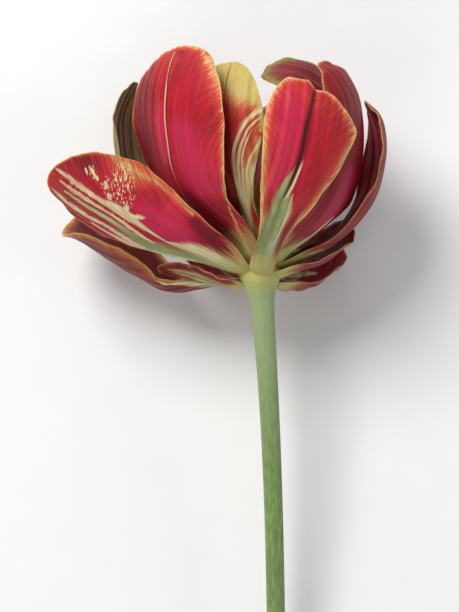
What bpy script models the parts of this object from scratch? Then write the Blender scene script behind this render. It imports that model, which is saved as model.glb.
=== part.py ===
"""A cut double tulip with flamed, wavy petals, lying on a flat surface.

The flower is modelled in a frame of its own and then laid down. There +Y runs along the bloom's axis from
the stem to the petal tips, +Z faces away from the table, and +X is to the right for someone who looks down
at it. Azimuths go round +Y: 0 faces +Z and 90 faces +X. Heights along +Y count from the bloom's seat.
"""

from dataclasses import dataclass
from math import cos, pi, radians, sin

import bmesh
import bpy
import numpy as np
from mathutils import Vector

# Sizes are in millimetres and angles in degrees, and this turns them into metres.
MM = 0.001

# How the flower lies. The axis rises towards the tips, and the seat is the height of the bloom's base.
LAY_TILT = 8.0
SEAT_HEIGHT = 42.0
SEAT_X = 14.1
SEAT_Y = 57.3
PRESS = 3.0  # height over which a petal bends before it lies flat on the table

# Stem, with the receptacle at its top
STEM_LENGTH = 190.0
STEM_RADIUS = 3.15
STEM_STEPS = 19
STEM_SIDES = 6  # sides to a quarter turn, less one
STEM_LEAN = 6.1  # how far the cut end is to the right of the bloom's axis
CUT_END_DIP = 0.12  # because the sloping end is less deep than its radius
NECK_RADIUS = 4.5
NECK_FADE = 7.0  # how fast the neck narrows to the stem's radius
RECEPTACLE_RADIUS = 5.0
RECEPTACLE_BASE = -5.0
RECEPTACLE_SHOULDER = 4.0
RECEPTACLE_TOP = 6.5
RECEPTACLE_EDGE = 0.6  # depth of the bevel round its top
SEAT_GAP = 0.3

# Pistil and stamens
PISTIL_RADIUS = 1.9
PISTIL_TOP = 24.0
PISTIL_SIDES = 2
PISTIL_FORM = ((0, 1), (0.5, 1.2), (0.85, 1.1), (1, 0.8))  # shares of its height and of its radius
STIGMA_LOBE = 2.2
STIGMA_FLATNESS = 0.7
STIGMA_AZIMUTHS = (60, 180, 300)
STIGMA_SPREAD = 0.8  # how far each lobe is from the axis, in lobe radii
STAMENS = 6
STAMEN_SIDES = 1
STAMEN_SEAT = 3.1  # radius of the ring that they stand in
FILAMENT_RADIUS = 0.7
FILAMENT_TIP = 0.56
ANTHER_RADIUS = 1.25
ANTHER_NECK = 1.0
ANTHER_TIP = 0.62

# Petal blades
MARGIN_THICKNESS = 0.75
CLAW_THICKNESS = 1.0
LEVEL = RECEPTACLE_RADIUS + SEAT_GAP  # radius at which a level claw is seated
SLOPING = LEVEL + 0.5 * CLAW_THICKNESS  # the same where the claw slopes, because it thickens inwards
RISING = LEVEL + 0.8 * CLAW_THICKNESS  # and where it is steep
COLUMNS = 10
ROWS = 12
CROWDING = 0.75  # how much closer together the columns are at the margins
NOTCH_SPREAD = 0.2  # share of the half width that a notch takes
WAVE_START = 0.4  # share of the length at which the margins wave fully
WAVE_SKEW = 2.4  # how far the waves trail towards the margins, in radians
CLAW_ROWS = ROWS // 3  # rows over which the claw thins out to the blade
SPAN_STEPS = 40
SPINE_SAMPLES = 240


@dataclass(frozen=True)
class Petal:
    """One petal. Its spine is the midrib from claw to tip, as stations of (radius, height, azimuth)."""

    name: str
    spine: tuple
    left: float  # half width at the widest place, on the side of the lower azimuths
    right: float
    cup: tuple = (25, 35, 30)  # how far the blade turns from midrib to margin, at claw, middle and tip
    roll: tuple = (0, 0, 0)  # how far it is turned about its midrib, at the same places
    claw: float = 2.6  # half width at the seat
    widest: float = 0.68  # share of the length at which the blade is full width
    taper: float = 1.15  # more than 1 keeps it narrow for longer
    shoulder: float = 0.62  # share of the length at which the side margins end and the crown begins
    slant: float = 0.0  # how much higher the crown is on the right
    notch: float = 0.0
    ruffle: float = 0.8
    waves: float = 2.0
    phase: float = 0.0
    finish: str = "crimson"


PETALS = (
    # Outer whorl
    Petal("petal_outer_front",
          ((RISING, -3.5, 4), (13, 3.5, 8), (25, 13.5, 13), (34, 24, 17), (40, 33, 19.5), (43.5, 42, 21.5),
           (45, 52, 23.5), (44.5, 63.2, 25.8)),
          16.5, 18.8, cup=(25, 22, 22), widest=0.86, taper=2.4, shoulder=0.81, slant=-0.085, notch=0.03,
          ruffle=0.5),
    Petal("petal_outer_left",
          ((SLOPING, -2, -62), (12, 0.5, -63), (22, 4.5, -64), (39.5, 11.5, -65), (55, 20.5, -68),
           (67, 29, -71), (74.5, 33.5, -72)),
          16.5, 20, cup=(20, 50, 42), roll=(0, -40, -42), widest=0.72, taper=0.72, shoulder=0.66,
          finish="flamed"),
    Petal("petal_outer_right",
          ((SLOPING, -3, 70), (12, -0.5, 88), (20, 2, 106), (28, 6, 121), (33.5, 11, 128), (37, 17.5, 132)),
          12, 15, cup=(25, 30, 30), roll=(0, -4, -4)),
    Petal("petal_outer_low_left",
          ((LEVEL, -4.5, -114), (14, -4.5, -117), (24, -6, -118), (35, -6.8, -118), (46, -1, -117),
           (56, 7.5, -115), (64.5, 14.5, -114), (70, 19, -113)),
          17, 30, cup=(22, 58, 50), roll=(0, 0, 24), widest=0.82, taper=2.2, shoulder=0.74, finish="orange"),
    Petal("petal_outer_back_right",
          ((LEVEL, -4.5, 126), (12, -6, 141), (24, -6.5, 150), (36, -4, 155), (48, 2, 158), (58, 11, 159)),
          17, 15, cup=(25, 40, 35)),
    Petal("petal_outer_back_left",
          ((LEVEL, -4, -172), (14, -4.5, -166), (26, -3, -161), (38, 1.5, -158), (49, 8, -157),
           (58, 17, -157)),
          13, 15, cup=(25, 32, 30), ruffle=0.4),
    Petal("petal_small_curled",
          ((LEVEL, -6.1, -86), (10, -5.5, -86), (15, -3.9, -87), (22, -1.7, -90), (29, 0, -95),
           (35.5, 1, -98)),
          5, 4.4, cup=(10, 35, 40), roll=(-10, -36, -42), claw=2.2, ruffle=0, finish="flamed"),
    # Middle whorl
    Petal("petal_middle_front_left",
          ((RISING, 0, -30), (10.5, 6.5, -43), (17, 13, -53), (26.5, 22, -58.5), (34.5, 33.5, -57),
           (39, 45.3, -54), (40.5, 57.3, -51.5), (39, 67.6, -49), (35, 76.5, -46)),
          27, 25, cup=(25, 24, 34), widest=0.62, shoulder=0.72, slant=0.07, ruffle=0.6),
    Petal("petal_middle_front_right",
          ((RISING, 0, 36), (12, 6, 46), (21, 12.5, 54), (29, 20, 58), (34, 30, 61), (36, 40, 63),
           (36.5, 50, 63), (35, 60, 61), (31, 68, 57), (26, 71.5, 53)),
          17, 17, cup=(25, 30, 30), widest=0.6),
    Petal("petal_middle_right",
          ((RISING, 0, 92), (14, 3.5, 95), (24.5, 8.5, 97), (34, 16.5, 98), (40.5, 26, 98), (43.5, 38, 98),
           (43.5, 47, 98), (41.5, 54, 98), (37, 59, 97)),
          17, 17, cup=(25, 30, 30)),
    Petal("petal_middle_back_right",
          ((RISING, 0, 146), (12, 5, 145), (21, 12, 144), (29, 22, 143), (34, 34, 143), (36, 46, 143),
           (35, 56, 143), (31, 64, 142)),
          19, 19, cup=(25, 34, 30)),
    Petal("petal_middle_back_left",
          ((RISING, 0, -160), (13, 4, -161), (23, 10.5, -162), (31.5, 20.5, -163), (37, 32, -163),
           (39, 44, -163), (38, 55, -163), (33, 64, -163)),
          20, 20, cup=(25, 34, 30)),
    Petal("petal_middle_left",
          ((RISING, 0, -98), (14, 3, -101), (26, 8.5, -103), (38, 17.5, -105), (46, 29, -106), (50, 40, -106),
           (51, 52, -106), (48.5, 60, -105), (44, 66, -104)),
          17, 16, cup=(25, 30, 30), finish="golden"),
    # Inner whorl
    Petal("petal_inner_front",
          ((RISING, 3.5, -14), (9.5, 10, -15), (15.5, 18, -18), (23, 27, -20), (29.5, 37, -21), (33, 47, -21),
           (33.5, 56, -21), (30.5, 65, -21), (26, 71, -21)),
          20, 14.4, cup=(25, 28, 30), widest=0.8, taper=3.0, finish="golden"),
    Petal("petal_inner_front_right",
          ((RISING, 3.5, 44), (9, 10, 42), (14, 18, 39), (20, 28, 36), (25, 39, 33), (26, 49, 31),
           (25, 58, 30)),
          12, 10.5, cup=(25, 28, 30)),
    Petal("petal_inner_right",
          ((RISING, 3.5, 100), (11, 9, 96), (19, 16, 91), (26, 26, 86), (30, 38, 82), (31, 48, 79),
           (29, 56.5, 76), (24, 63, 71), (17, 68, 62), (9, 69.5, 48), (3, 68.5, 30)),
          14, 14, cup=(25, 30, 30), roll=(0, 0, 40), ruffle=0.6, phase=0.4, finish="golden"),
    Petal("petal_inner_back",
          ((RISING, 3.5, 166), (10, 9, 168), (17, 16, 168), (25, 26, 168), (30, 38, 168), (31, 49, 168),
           (29, 59, 168)),
          15, 15, cup=(25, 28, 30)),
    Petal("petal_inner_left",
          ((RISING, 3.5, -92), (10, 9, -96), (17, 16, -99), (25, 26, -101), (31, 38, -102), (32, 49, -102),
           (29.5, 58, -102)),
          15, 15, cup=(25, 28, 30)),
)


def smooth_curve(stations):
    """A smooth curve through the stations."""
    stations = np.asarray(stations, float)
    slopes = np.gradient(stations, axis=0)
    place = np.linspace(0, len(stations) - 1, SPAN_STEPS * (len(stations) - 1) + 1)
    low = np.minimum(place.astype(int), len(stations) - 2)
    x = (place - low)[:, None]
    start, end = stations[low], stations[low + 1]
    leave, arrive = slopes[low], slopes[low + 1]
    return (start * (1 + 2 * x) * (1 - x) ** 2 + leave * x * (1 - x) ** 2
            + end * x ** 2 * (3 - 2 * x) - arrive * x ** 2 * (1 - x))


def unit(vectors):
    return vectors / np.linalg.norm(vectors, axis=-1, keepdims=True)


def thirds(values, share):
    """The claw, middle and tip values of a petal, read at these shares of its length."""
    return np.interp(share, (0, 0.5, 1), values)


def midrib(petal):
    """Evenly spaced points of the midrib, with the directions across and out of the blade at each."""
    radius, height, azimuth = smooth_curve(petal.spine).T
    turn = np.radians(azimuth)
    points = np.stack([radius * np.sin(turn), height, radius * np.cos(turn)], axis=-1)
    run = np.concatenate([[0], np.cumsum(np.linalg.norm(np.diff(points, axis=0), axis=1))])
    share = np.linspace(0, 1, SPINE_SAMPLES + 1)
    points = np.stack([np.interp(share * run[-1], run, axis) for axis in points.T], axis=-1)
    turn = np.interp(share * run[-1], run, turn)
    ahead = unit(np.gradient(points, axis=0))
    across = np.stack([np.cos(turn), 0 * turn, -np.sin(turn)], axis=-1)
    across = unit(across - ahead * np.sum(across * ahead, axis=1, keepdims=True))
    out = np.cross(across, ahead)
    roll = np.radians(thirds(petal.roll, share))[:, None]
    rolled = across * np.cos(roll) + out * np.sin(roll)
    return share, points, rolled, out * np.cos(roll) - across * np.sin(roll)


def blade(petal, rows, columns):
    """The outer face of a petal as a grid of points, in rows from claw to tip and columns left to right."""
    u = np.linspace(0, 1, rows + 1)[:, None]
    spread = np.linspace(-1, 1, columns + 1)[None, :]
    v = (1 - CROWDING) * spread + CROWDING * np.sin(pi / 2 * spread)
    crown = np.sqrt(np.maximum(0, 1 - v ** 2))
    top = petal.shoulder + (1 - petal.shoulder) * crown + petal.slant * v * crown
    along = u * (top - petal.notch * np.exp(-(v / NOTCH_SPREAD) ** 2))
    v = v + 0 * u
    widening = np.sin(pi / 2 * np.minimum(1, along / petal.widest)) ** petal.taper
    widths = np.where(v < 0, petal.left, petal.right)
    half = petal.claw + (widths - petal.claw) * widening
    bend = np.radians(thirds(petal.cup, along)) * v
    reach = half * v
    side = reach * np.sinc(bend / pi)
    rise = reach * np.sin(bend / 2) * np.sinc(bend / (2 * pi))
    edge = np.maximum(np.abs(v) ** 3, u ** 8) * np.minimum(1, along / WAVE_START)
    turns = petal.waves * along * np.sign(v)
    wave = petal.ruffle * edge * np.sin(2 * pi * turns + WAVE_SKEW * v + petal.phase)
    share, points, across, out = midrib(petal)

    def at(vectors):
        return np.stack([np.interp(along, share, axis) for axis in vectors.T], axis=-1)

    placed = at(points) + at(across) * side[..., None] + at(out) * (wave - rise)[..., None]
    return press(placed)


def press(points):
    """Lift what would be below the table onto it, where it lies flat."""
    up = np.array([0, sin(radians(LAY_TILT)), cos(radians(LAY_TILT))])
    level = SEAT_HEIGHT + points @ up
    bent = (level + PRESS) ** 2 / (4 * PRESS)
    lying = np.where(level > PRESS, level, np.where(level > -PRESS, bent, 0))
    return points + (lying - level)[..., None] * up


def plain_material(name, colour, roughness):
    material = bpy.data.materials.new(name)
    material.use_nodes = True
    shader = material.node_tree.nodes["Principled BSDF"]
    shader.inputs["Base Color"].default_value = (*colour, 1)
    shader.inputs["Roughness"].default_value = roughness
    shader.inputs["Metallic"].default_value = 0
    return material


def add_object(name, mesh, group, holder, material):
    """Put a mesh into the flower under its holder, with one finish."""
    made = bpy.data.objects.new(name, mesh)
    group.objects.link(made)
    made.parent = holder
    mesh.materials.append(material)
    return made


def petal_object(petal, group, holder, material):
    """A petal: the grid of its outer face, thickened towards the bloom's inside."""
    grid = blade(petal, ROWS, COLUMNS) * MM
    form = bmesh.new()
    points = [[form.verts.new(point) for point in row] for row in grid]
    for low, high in zip(points, points[1:]):
        for a, b, c, d in zip(low, low[1:], high[1:], high):
            form.faces.new((a, b, c, d))
    bmesh.ops.triangulate(form, faces=form.faces, quad_method="SHORT_EDGE")
    for face in form.faces:
        face.smooth = True
    mesh = bpy.data.meshes.new(petal.name)
    form.to_mesh(mesh)
    form.free()
    made = add_object(petal.name, mesh, group, holder, material)
    claw = made.vertex_groups.new(name="claw")
    for row in range(CLAW_ROWS):
        first = row * (COLUMNS + 1)
        claw.add(list(range(first, first + COLUMNS + 1)), 1 - row / CLAW_ROWS, "REPLACE")
    shell = made.modifiers.new("thickness", "SOLIDIFY")
    shell.thickness = CLAW_THICKNESS * MM
    shell.offset = -1
    shell.vertex_group = claw.name
    shell.thickness_vertex_group = MARGIN_THICKNESS / CLAW_THICKNESS
    return made


def tube(name, stations, sides):
    """A mesh swept along (x, y, z, radius) stations, closed at both ends. More sides make it rounder."""
    curve = bpy.data.curves.new(name, "CURVE")
    curve.dimensions = "3D"
    curve.bevel_depth = MM
    curve.bevel_resolution = sides
    curve.use_fill_caps = True
    line = curve.splines.new("POLY")
    line.points.add(len(stations) - 1)
    for point, (x, y, z, radius) in zip(line.points, stations):
        point.co = (x * MM, y * MM, z * MM, 1)
        point.radius = radius
    line.use_smooth = True
    source = bpy.data.objects.new(name, curve)
    bpy.context.scene.collection.objects.link(source)
    mesh = bpy.data.meshes.new_from_object(source.evaluated_get(bpy.context.evaluated_depsgraph_get()))
    bpy.data.objects.remove(source)
    form = bmesh.new()
    form.from_mesh(mesh)
    bmesh.ops.remove_doubles(form, verts=form.verts, dist=MM / 1000)
    form.to_mesh(mesh)
    form.free()
    mesh.materials.clear()
    return mesh


def stem_stations():
    """The stem from its cut end, bent back so that this end lies on the table, up to the receptacle."""
    reach = np.linspace(1, 0, STEM_STEPS + 1)[:-1]
    drop = SEAT_HEIGHT + CUT_END_DIP - (STEM_LENGTH * sin(radians(LAY_TILT)) + STEM_RADIUS)
    sag = (drop / cos(radians(LAY_TILT))) * reach ** 2
    lean = STEM_LEAN * (1 - (1 - reach) ** 3)
    radius = STEM_RADIUS + (NECK_RADIUS - STEM_RADIUS) * np.exp(-reach * NECK_FADE)
    stations = list(zip(lean, -STEM_LENGTH * reach, -sag, radius))
    stations += [(0, height, 0, RECEPTACLE_RADIUS) for height in (RECEPTACLE_BASE, 0, RECEPTACLE_SHOULDER)]
    stations += [(0, RECEPTACLE_TOP - RECEPTACLE_EDGE, 0, RECEPTACLE_RADIUS - 0.5 * RECEPTACLE_EDGE),
                 (0, RECEPTACLE_TOP, 0, RECEPTACLE_RADIUS - 1.5 * RECEPTACLE_EDGE)]
    return stations


def stamen_stations(azimuth):
    """A filament that leans out from the receptacle and carries its anther end on."""
    turn = radians(azimuth)
    stations = []
    for radius, height, thickness in (
            (STAMEN_SEAT, RECEPTACLE_TOP + SEAT_GAP, FILAMENT_RADIUS),
            (4.4, 13, FILAMENT_RADIUS),
            (6.6, 20, FILAMENT_TIP),
            (7.2, 21.5, ANTHER_NECK),
            (8.0, 24, ANTHER_RADIUS),
            (9.0, 28, ANTHER_RADIUS),
            (9.6, 31, ANTHER_TIP)):
        stations.append((radius * sin(turn), height, radius * cos(turn), thickness))
    return stations


def pistil_mesh():
    """The ovary, a column that narrows under a stigma of three lobes."""
    seat = RECEPTACLE_TOP + SEAT_GAP
    top = PISTIL_TOP - STIGMA_LOBE
    column = tube("pistil", [(0, seat + share * (top - seat), 0, fullness * PISTIL_RADIUS)
                             for share, fullness in PISTIL_FORM], PISTIL_SIDES)
    base = bpy.data.objects.new("pistil_column", column)
    bpy.context.scene.collection.objects.link(base)
    lobes = []
    for azimuth in STIGMA_AZIMUTHS:
        turn = radians(azimuth)
        outward = Vector((sin(turn), 0, cos(turn)))
        place = outward * (STIGMA_SPREAD * STIGMA_LOBE * MM) + Vector((0, top * MM, 0))
        bpy.ops.mesh.primitive_uv_sphere_add(
            segments=10, ring_count=6, radius=STIGMA_LOBE * MM, location=place)
        lobe = bpy.context.active_object
        lobe.scale = (1, STIGMA_FLATNESS, 1)
        lobes.append(lobe)
        join = base.modifiers.new("lobe", "BOOLEAN")
        join.operation = "UNION"
        join.solver = "EXACT"
        join.object = lobe
    mesh = bpy.data.meshes.new_from_object(base.evaluated_get(bpy.context.evaluated_depsgraph_get()))
    for used in (base, *lobes):
        bpy.data.objects.remove(used)
    mesh.materials.clear()
    return mesh


def main():
    for old in list(bpy.data.objects):
        bpy.data.objects.remove(old)
    group = bpy.data.collections.new("tulip")
    bpy.context.scene.collection.children.link(group)
    holder = bpy.data.objects.new("bloom_axis", None)
    group.objects.link(holder)
    holder.rotation_euler = (radians(LAY_TILT), 0, 0)
    holder.location = Vector((SEAT_X, SEAT_Y, SEAT_HEIGHT)) * MM

    finishes = {
        "crimson": plain_material("petal_crimson", (0.33, 0.006, 0.02), 0.45),
        "flamed": plain_material("petal_flamed", (0.42, 0.06, 0.07), 0.45),
        "orange": plain_material("petal_orange", (0.35, 0.03, 0.01), 0.5),
        "golden": plain_material("petal_golden", (0.42, 0.13, 0.04), 0.5),
    }
    for petal in PETALS:
        petal_object(petal, group, holder, finishes[petal.finish])
    add_object("stem", tube("stem", stem_stations(), STEM_SIDES), group, holder,
               plain_material("stem_green", (0.12, 0.2, 0.06), 0.5))
    add_object("pistil", pistil_mesh(), group, holder,
               plain_material("pistil_green", (0.35, 0.42, 0.15), 0.5))
    pollen = plain_material("anther_yellow", (0.5, 0.33, 0.06), 0.8)
    for number in range(STAMENS):
        name = f"stamen_{number + 1}"
        shape = tube(name, stamen_stations(360 * number / STAMENS), STAMEN_SIDES)
        add_object(name, shape, group, holder, pollen)


if __name__ == "__main__":
    main()
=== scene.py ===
"""The cut double tulip, dressed: flamed and feathered petals, a waxy stem, a lobed pistil and its stamens.

The flower has a frame of its own, in millimetres: +Y runs along the bloom's axis from the stem to the petal
tips, +Z faces away from the table and +X is to the right. Azimuths go round +Y from +Z towards +X. A point of
a petal is given by its place across (-1 at the left margin, 1 at the right) and along (0 at the claw, 1 at
the tip).
"""

import logging
from dataclasses import dataclass, field
from enum import Enum
from math import cos, pi, radians, sin

import bpy
import numpy as np
from mathutils import Matrix, Vector

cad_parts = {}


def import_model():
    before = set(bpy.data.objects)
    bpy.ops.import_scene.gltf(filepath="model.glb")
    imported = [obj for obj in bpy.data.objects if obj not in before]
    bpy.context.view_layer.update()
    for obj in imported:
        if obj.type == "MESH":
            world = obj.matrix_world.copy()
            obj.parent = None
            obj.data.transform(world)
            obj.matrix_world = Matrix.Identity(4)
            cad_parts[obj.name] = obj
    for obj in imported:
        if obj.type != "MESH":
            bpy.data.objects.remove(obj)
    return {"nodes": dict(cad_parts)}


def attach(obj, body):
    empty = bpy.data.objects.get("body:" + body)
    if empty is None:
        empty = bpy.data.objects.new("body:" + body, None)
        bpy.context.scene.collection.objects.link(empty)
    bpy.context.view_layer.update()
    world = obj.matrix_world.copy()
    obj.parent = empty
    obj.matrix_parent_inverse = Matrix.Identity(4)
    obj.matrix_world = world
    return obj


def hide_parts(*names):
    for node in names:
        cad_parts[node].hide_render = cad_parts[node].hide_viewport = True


LOG = logging.getLogger("tulip")

MM = 0.001

# How the flower lies on the table
LAY_TILT = 8.0
SEAT = (14.1, 57.3, 42.0)
PRESS = 3.0

# Stem and receptacle
STEM_LENGTH = 190.0
STEM_RADIUS = 3.15
CUT_END_DIP = 0.12
NECK_RADIUS = 4.5
RECEPTACLE_RADIUS = 5.0
RECEPTACLE_TOP = 6.5
SEAT_GAP = 0.3

# Radii at which the claws of level, sloping and rising petals are seated
CLAW_THICKNESS = 1.0
LEVEL = RECEPTACLE_RADIUS + SEAT_GAP
SLOPING = LEVEL + 0.5 * CLAW_THICKNESS
RISING = LEVEL + 0.8 * CLAW_THICKNESS

# Steps of a finely marked petal's mesh, from claw to tip and from margin to margin
FINE = (150, 150)

# The value of a marking's field well outside the marking
BARE = -2.0

Triple = tuple[float, float, float]
Colour = tuple[float, float, float, float]
Socket = bpy.types.NodeSocket
Feed = Socket | float | Colour


def linear(red: float, green: float, blue: float) -> Colour:
    """Turns a colour as it looks on a screen, 0 to 255, into the linear one that a shader takes.

    Args:
        red: The red value.
        green: The green value.
        blue: The blue value.

    Returns:
        The linear colour with an alpha of 1.
    """
    shown = np.array([red, green, blue]) / 255
    straight = np.where(shown <= 0.04045, shown / 12.92, ((shown + 0.055) / 1.055) ** 2.4)
    return (*straight.tolist(), 1.0)


def to_world(points: np.ndarray) -> np.ndarray:
    """Lays points of the flower's own frame down on the table.

    Args:
        points: Points in millimetres, in an array that ends in x, y, z.

    Returns:
        The same points in metres, in the frame of the whole part.
    """
    tilt = radians(LAY_TILT)
    x, y, z = np.moveaxis(points, -1, 0)
    laid = np.stack([x, y * cos(tilt) - z * sin(tilt), y * sin(tilt) + z * cos(tilt)], axis=-1)
    return (laid + np.array(SEAT)) * MM


class Tint(Enum):
    """The colours that a petal is marked with. Each value is the name of the field that carries it."""

    GOLD = "gold"
    CREAM = "cream"
    GREEN = "green"
    # Painted shade: dark red in creases, folds and lobes that turn away from the light
    PAINTED_SHADE = "painted_shade"
    # Painted sheen: pink highlights where the satin blade catches the light
    PAINTED_SHEEN = "painted_sheen"
    FLECK = "fleck"

    def __call__(self, *path: Triple) -> "Marking":
        """A marking of this colour along this path."""
        return Marking(self, path)


@dataclass(frozen=True)
class Marking:
    """A flame, stripe or flush on a petal, or a patch of painted shade or painted sheen, drawn as a brush of
    changing width along a path.

    Attributes:
        tint: What colour it is.
        path: Its stations of (across, along, half width in millimetres).
    """

    tint: Tint
    path: tuple[Triple, ...]


gold, cream, green, painted_shade, painted_sheen, flecks = Tint

CREAM_COLOUR = linear(222, 208, 158)
MINT_COLOUR = linear(186, 190, 138)
GREEN_COLOUR = linear(126, 136, 78)
# Painted shade: a very dark red for creases, folds, shaded bases and lobes that turn away from the light
PAINTED_SHADE_COLOUR = linear(84, 2, 14)
# Painted sheen: a light pink for highlights where the satin blade catches the light
PAINTED_SHEEN_COLOUR = linear(206, 44, 92)
CLAW_COLOUR = linear(176, 170, 98)


@dataclass(frozen=True)
class PetalFinish:
    """The colours of one kind of petal.

    Attributes:
        slot: The material slot that it belongs to; not used.
        body: Its main colour.
        shade: The darker colour of its veins and clouds.
        lining: The colour of its inner face.
        gold: The yellow of its margin.
        flush: The orange between that yellow and the body.
        flame: The colour of its pale flames.
    """

    slot: str = "petal_crimson"
    body: Colour = linear(176, 8, 34)
    shade: Colour = linear(120, 2, 20)
    lining: Colour = linear(122, 4, 26)
    gold: Colour = linear(216, 190, 122)
    flush: Colour = linear(206, 74, 52)
    flame: Colour = CREAM_COLOUR


CRIMSON = PetalFinish()
CORAL = PetalFinish(body=linear(190, 22, 42), shade=linear(140, 4, 24), flush=linear(214, 88, 56))
# A darker crimson for the petals at the right and the back: partly their own darker red, partly painted shade
# where they turn away from the light
WINE_WITH_PAINTED_SHADE = PetalFinish(body=linear(142, 5, 28), shade=linear(90, 1, 16), lining=linear(132, 8, 26),
                   gold=linear(190, 140, 78), flush=linear(160, 44, 30))
FLAMED = PetalFinish("petal_flamed", body=linear(178, 10, 42), shade=linear(126, 3, 24),
                     gold=linear(184, 158, 92), flush=linear(204, 84, 58))
# The flamed finish darkened throughout, flames too, as painted shade for the small curled petal whose face
# turns down
FLAMED_IN_PAINTED_SHADE = PetalFinish("petal_flamed", body=linear(132, 8, 24), shade=linear(84, 3, 14),
                     gold=linear(186, 140, 80), flush=linear(160, 64, 34), flame=linear(160, 148, 96))
# Its very dark lining is painted shade on the inner face of the low left petal, inside its cup
ORANGE = PetalFinish("petal_orange", body=linear(124, 10, 14), shade=linear(78, 4, 8),
                     lining=linear(74, 10, 6), gold=linear(196, 148, 74), flush=linear(172, 84, 34))
GOLDEN = PetalFinish("petal_golden", body=linear(184, 30, 38), shade=linear(140, 10, 24),
                     gold=linear(188, 176, 98), flush=linear(204, 104, 62))
OLIVE = PetalFinish("petal_golden", body=linear(124, 10, 28), shade=linear(84, 5, 16),
                    lining=linear(122, 66, 40), gold=linear(136, 122, 62), flush=linear(126, 66, 40))


@dataclass(frozen=True)
class Rib:
    """The line along a petal's midrib, with a second line close on its right. Where either line is dark, it
    is painted shade in the crease or beside the keel.

    Attributes:
        path: Its stations of (across, along, half width in millimetres).
        core: The colour of the line.
        beside: The colour of the second line.
        until: Share of the length at which the second line ends.
        strength: How clearly they show, up to 1.
    """

    path: tuple[Triple, ...] = ((0, 0.05, 0.1), (0, 0.3, 0.3), (0, 0.8, 0.26), (0, 1, 0.05))
    core: Colour = PAINTED_SHADE_COLOUR
    beside: Colour = PAINTED_SHADE_COLOUR
    until: float = 0.0
    strength: float = 0.5


@dataclass(frozen=True)
class Petal:
    """One petal: the form that it shares with its solid, and its markings.

    Attributes:
        name: The name of the CAD node that it stands for.
        spine: Its midrib from claw to tip, as stations of (radius, height, azimuth).
        left: Half width at the widest place, on the side of the lower azimuths, in millimetres.
        right: The same on the other side.
        cup: How far the blade turns from midrib to margin, at claw, middle and tip, in degrees.
        roll: How far it is turned about its midrib, at the same places.
        claw: Half width at the seat.
        widest: Share of the length at which the blade is full width.
        taper: More than 1 keeps it narrow for longer.
        shoulder: Share of the length at which the side margins end and the crown begins.
        slant: How much higher the crown is on the right.
        notch: Depth of the dent at the tip, as a share of the length.
        ruffle: Height of the waves of its margin.
        waves: How many of them there are.
        phase: Where they start.
        finish: Its colours.
        reach: How far the yellow reaches in from the left margin, the crown and the right margin.
        solid: How solid the yellow is. Low values leave only hairs of it.
        sweep: How far the upper veins turn outwards, in millimetres for each one ahead.
        rib: The lines along its midrib.
        crease: Depth of the groove along them, below 0 for a keel.
        markings: Its flames, stripes and flushes, with its painted shade and its painted pink sheen.
        seed: Tells its veins and clouds apart from those of the others.
        grid: Steps of its mesh from claw to tip and from margin to margin.
    """

    name: str
    spine: tuple[Triple, ...]
    left: float
    right: float
    cup: Triple = (25, 35, 30)
    roll: Triple = (0, 0, 0)
    claw: float = 2.6
    widest: float = 0.68
    taper: float = 1.15
    shoulder: float = 0.62
    slant: float = 0.0
    notch: float = 0.0
    ruffle: float = 0.8
    waves: float = 2.0
    phase: float = 0.0
    finish: PetalFinish = CRIMSON
    reach: Triple = (1.2, 1.8, 1.2)
    solid: float = 1.0
    sweep: float = 1.1
    rib: Rib = Rib()
    crease: float = 0.25
    markings: tuple[Marking, ...] = ()
    seed: int = 0
    grid: tuple[int, int] = (84, 72)

    @property
    def width(self) -> float:
        """The mean of its half widths."""
        return 0.5 * (self.left + self.right)

    def widening(self, along: np.ndarray) -> np.ndarray:
        """How far the blade has widened at these places along, from 0 at the claw to 1."""
        return np.sin(pi / 2 * np.minimum(1, along / self.widest)) ** self.taper


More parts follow.
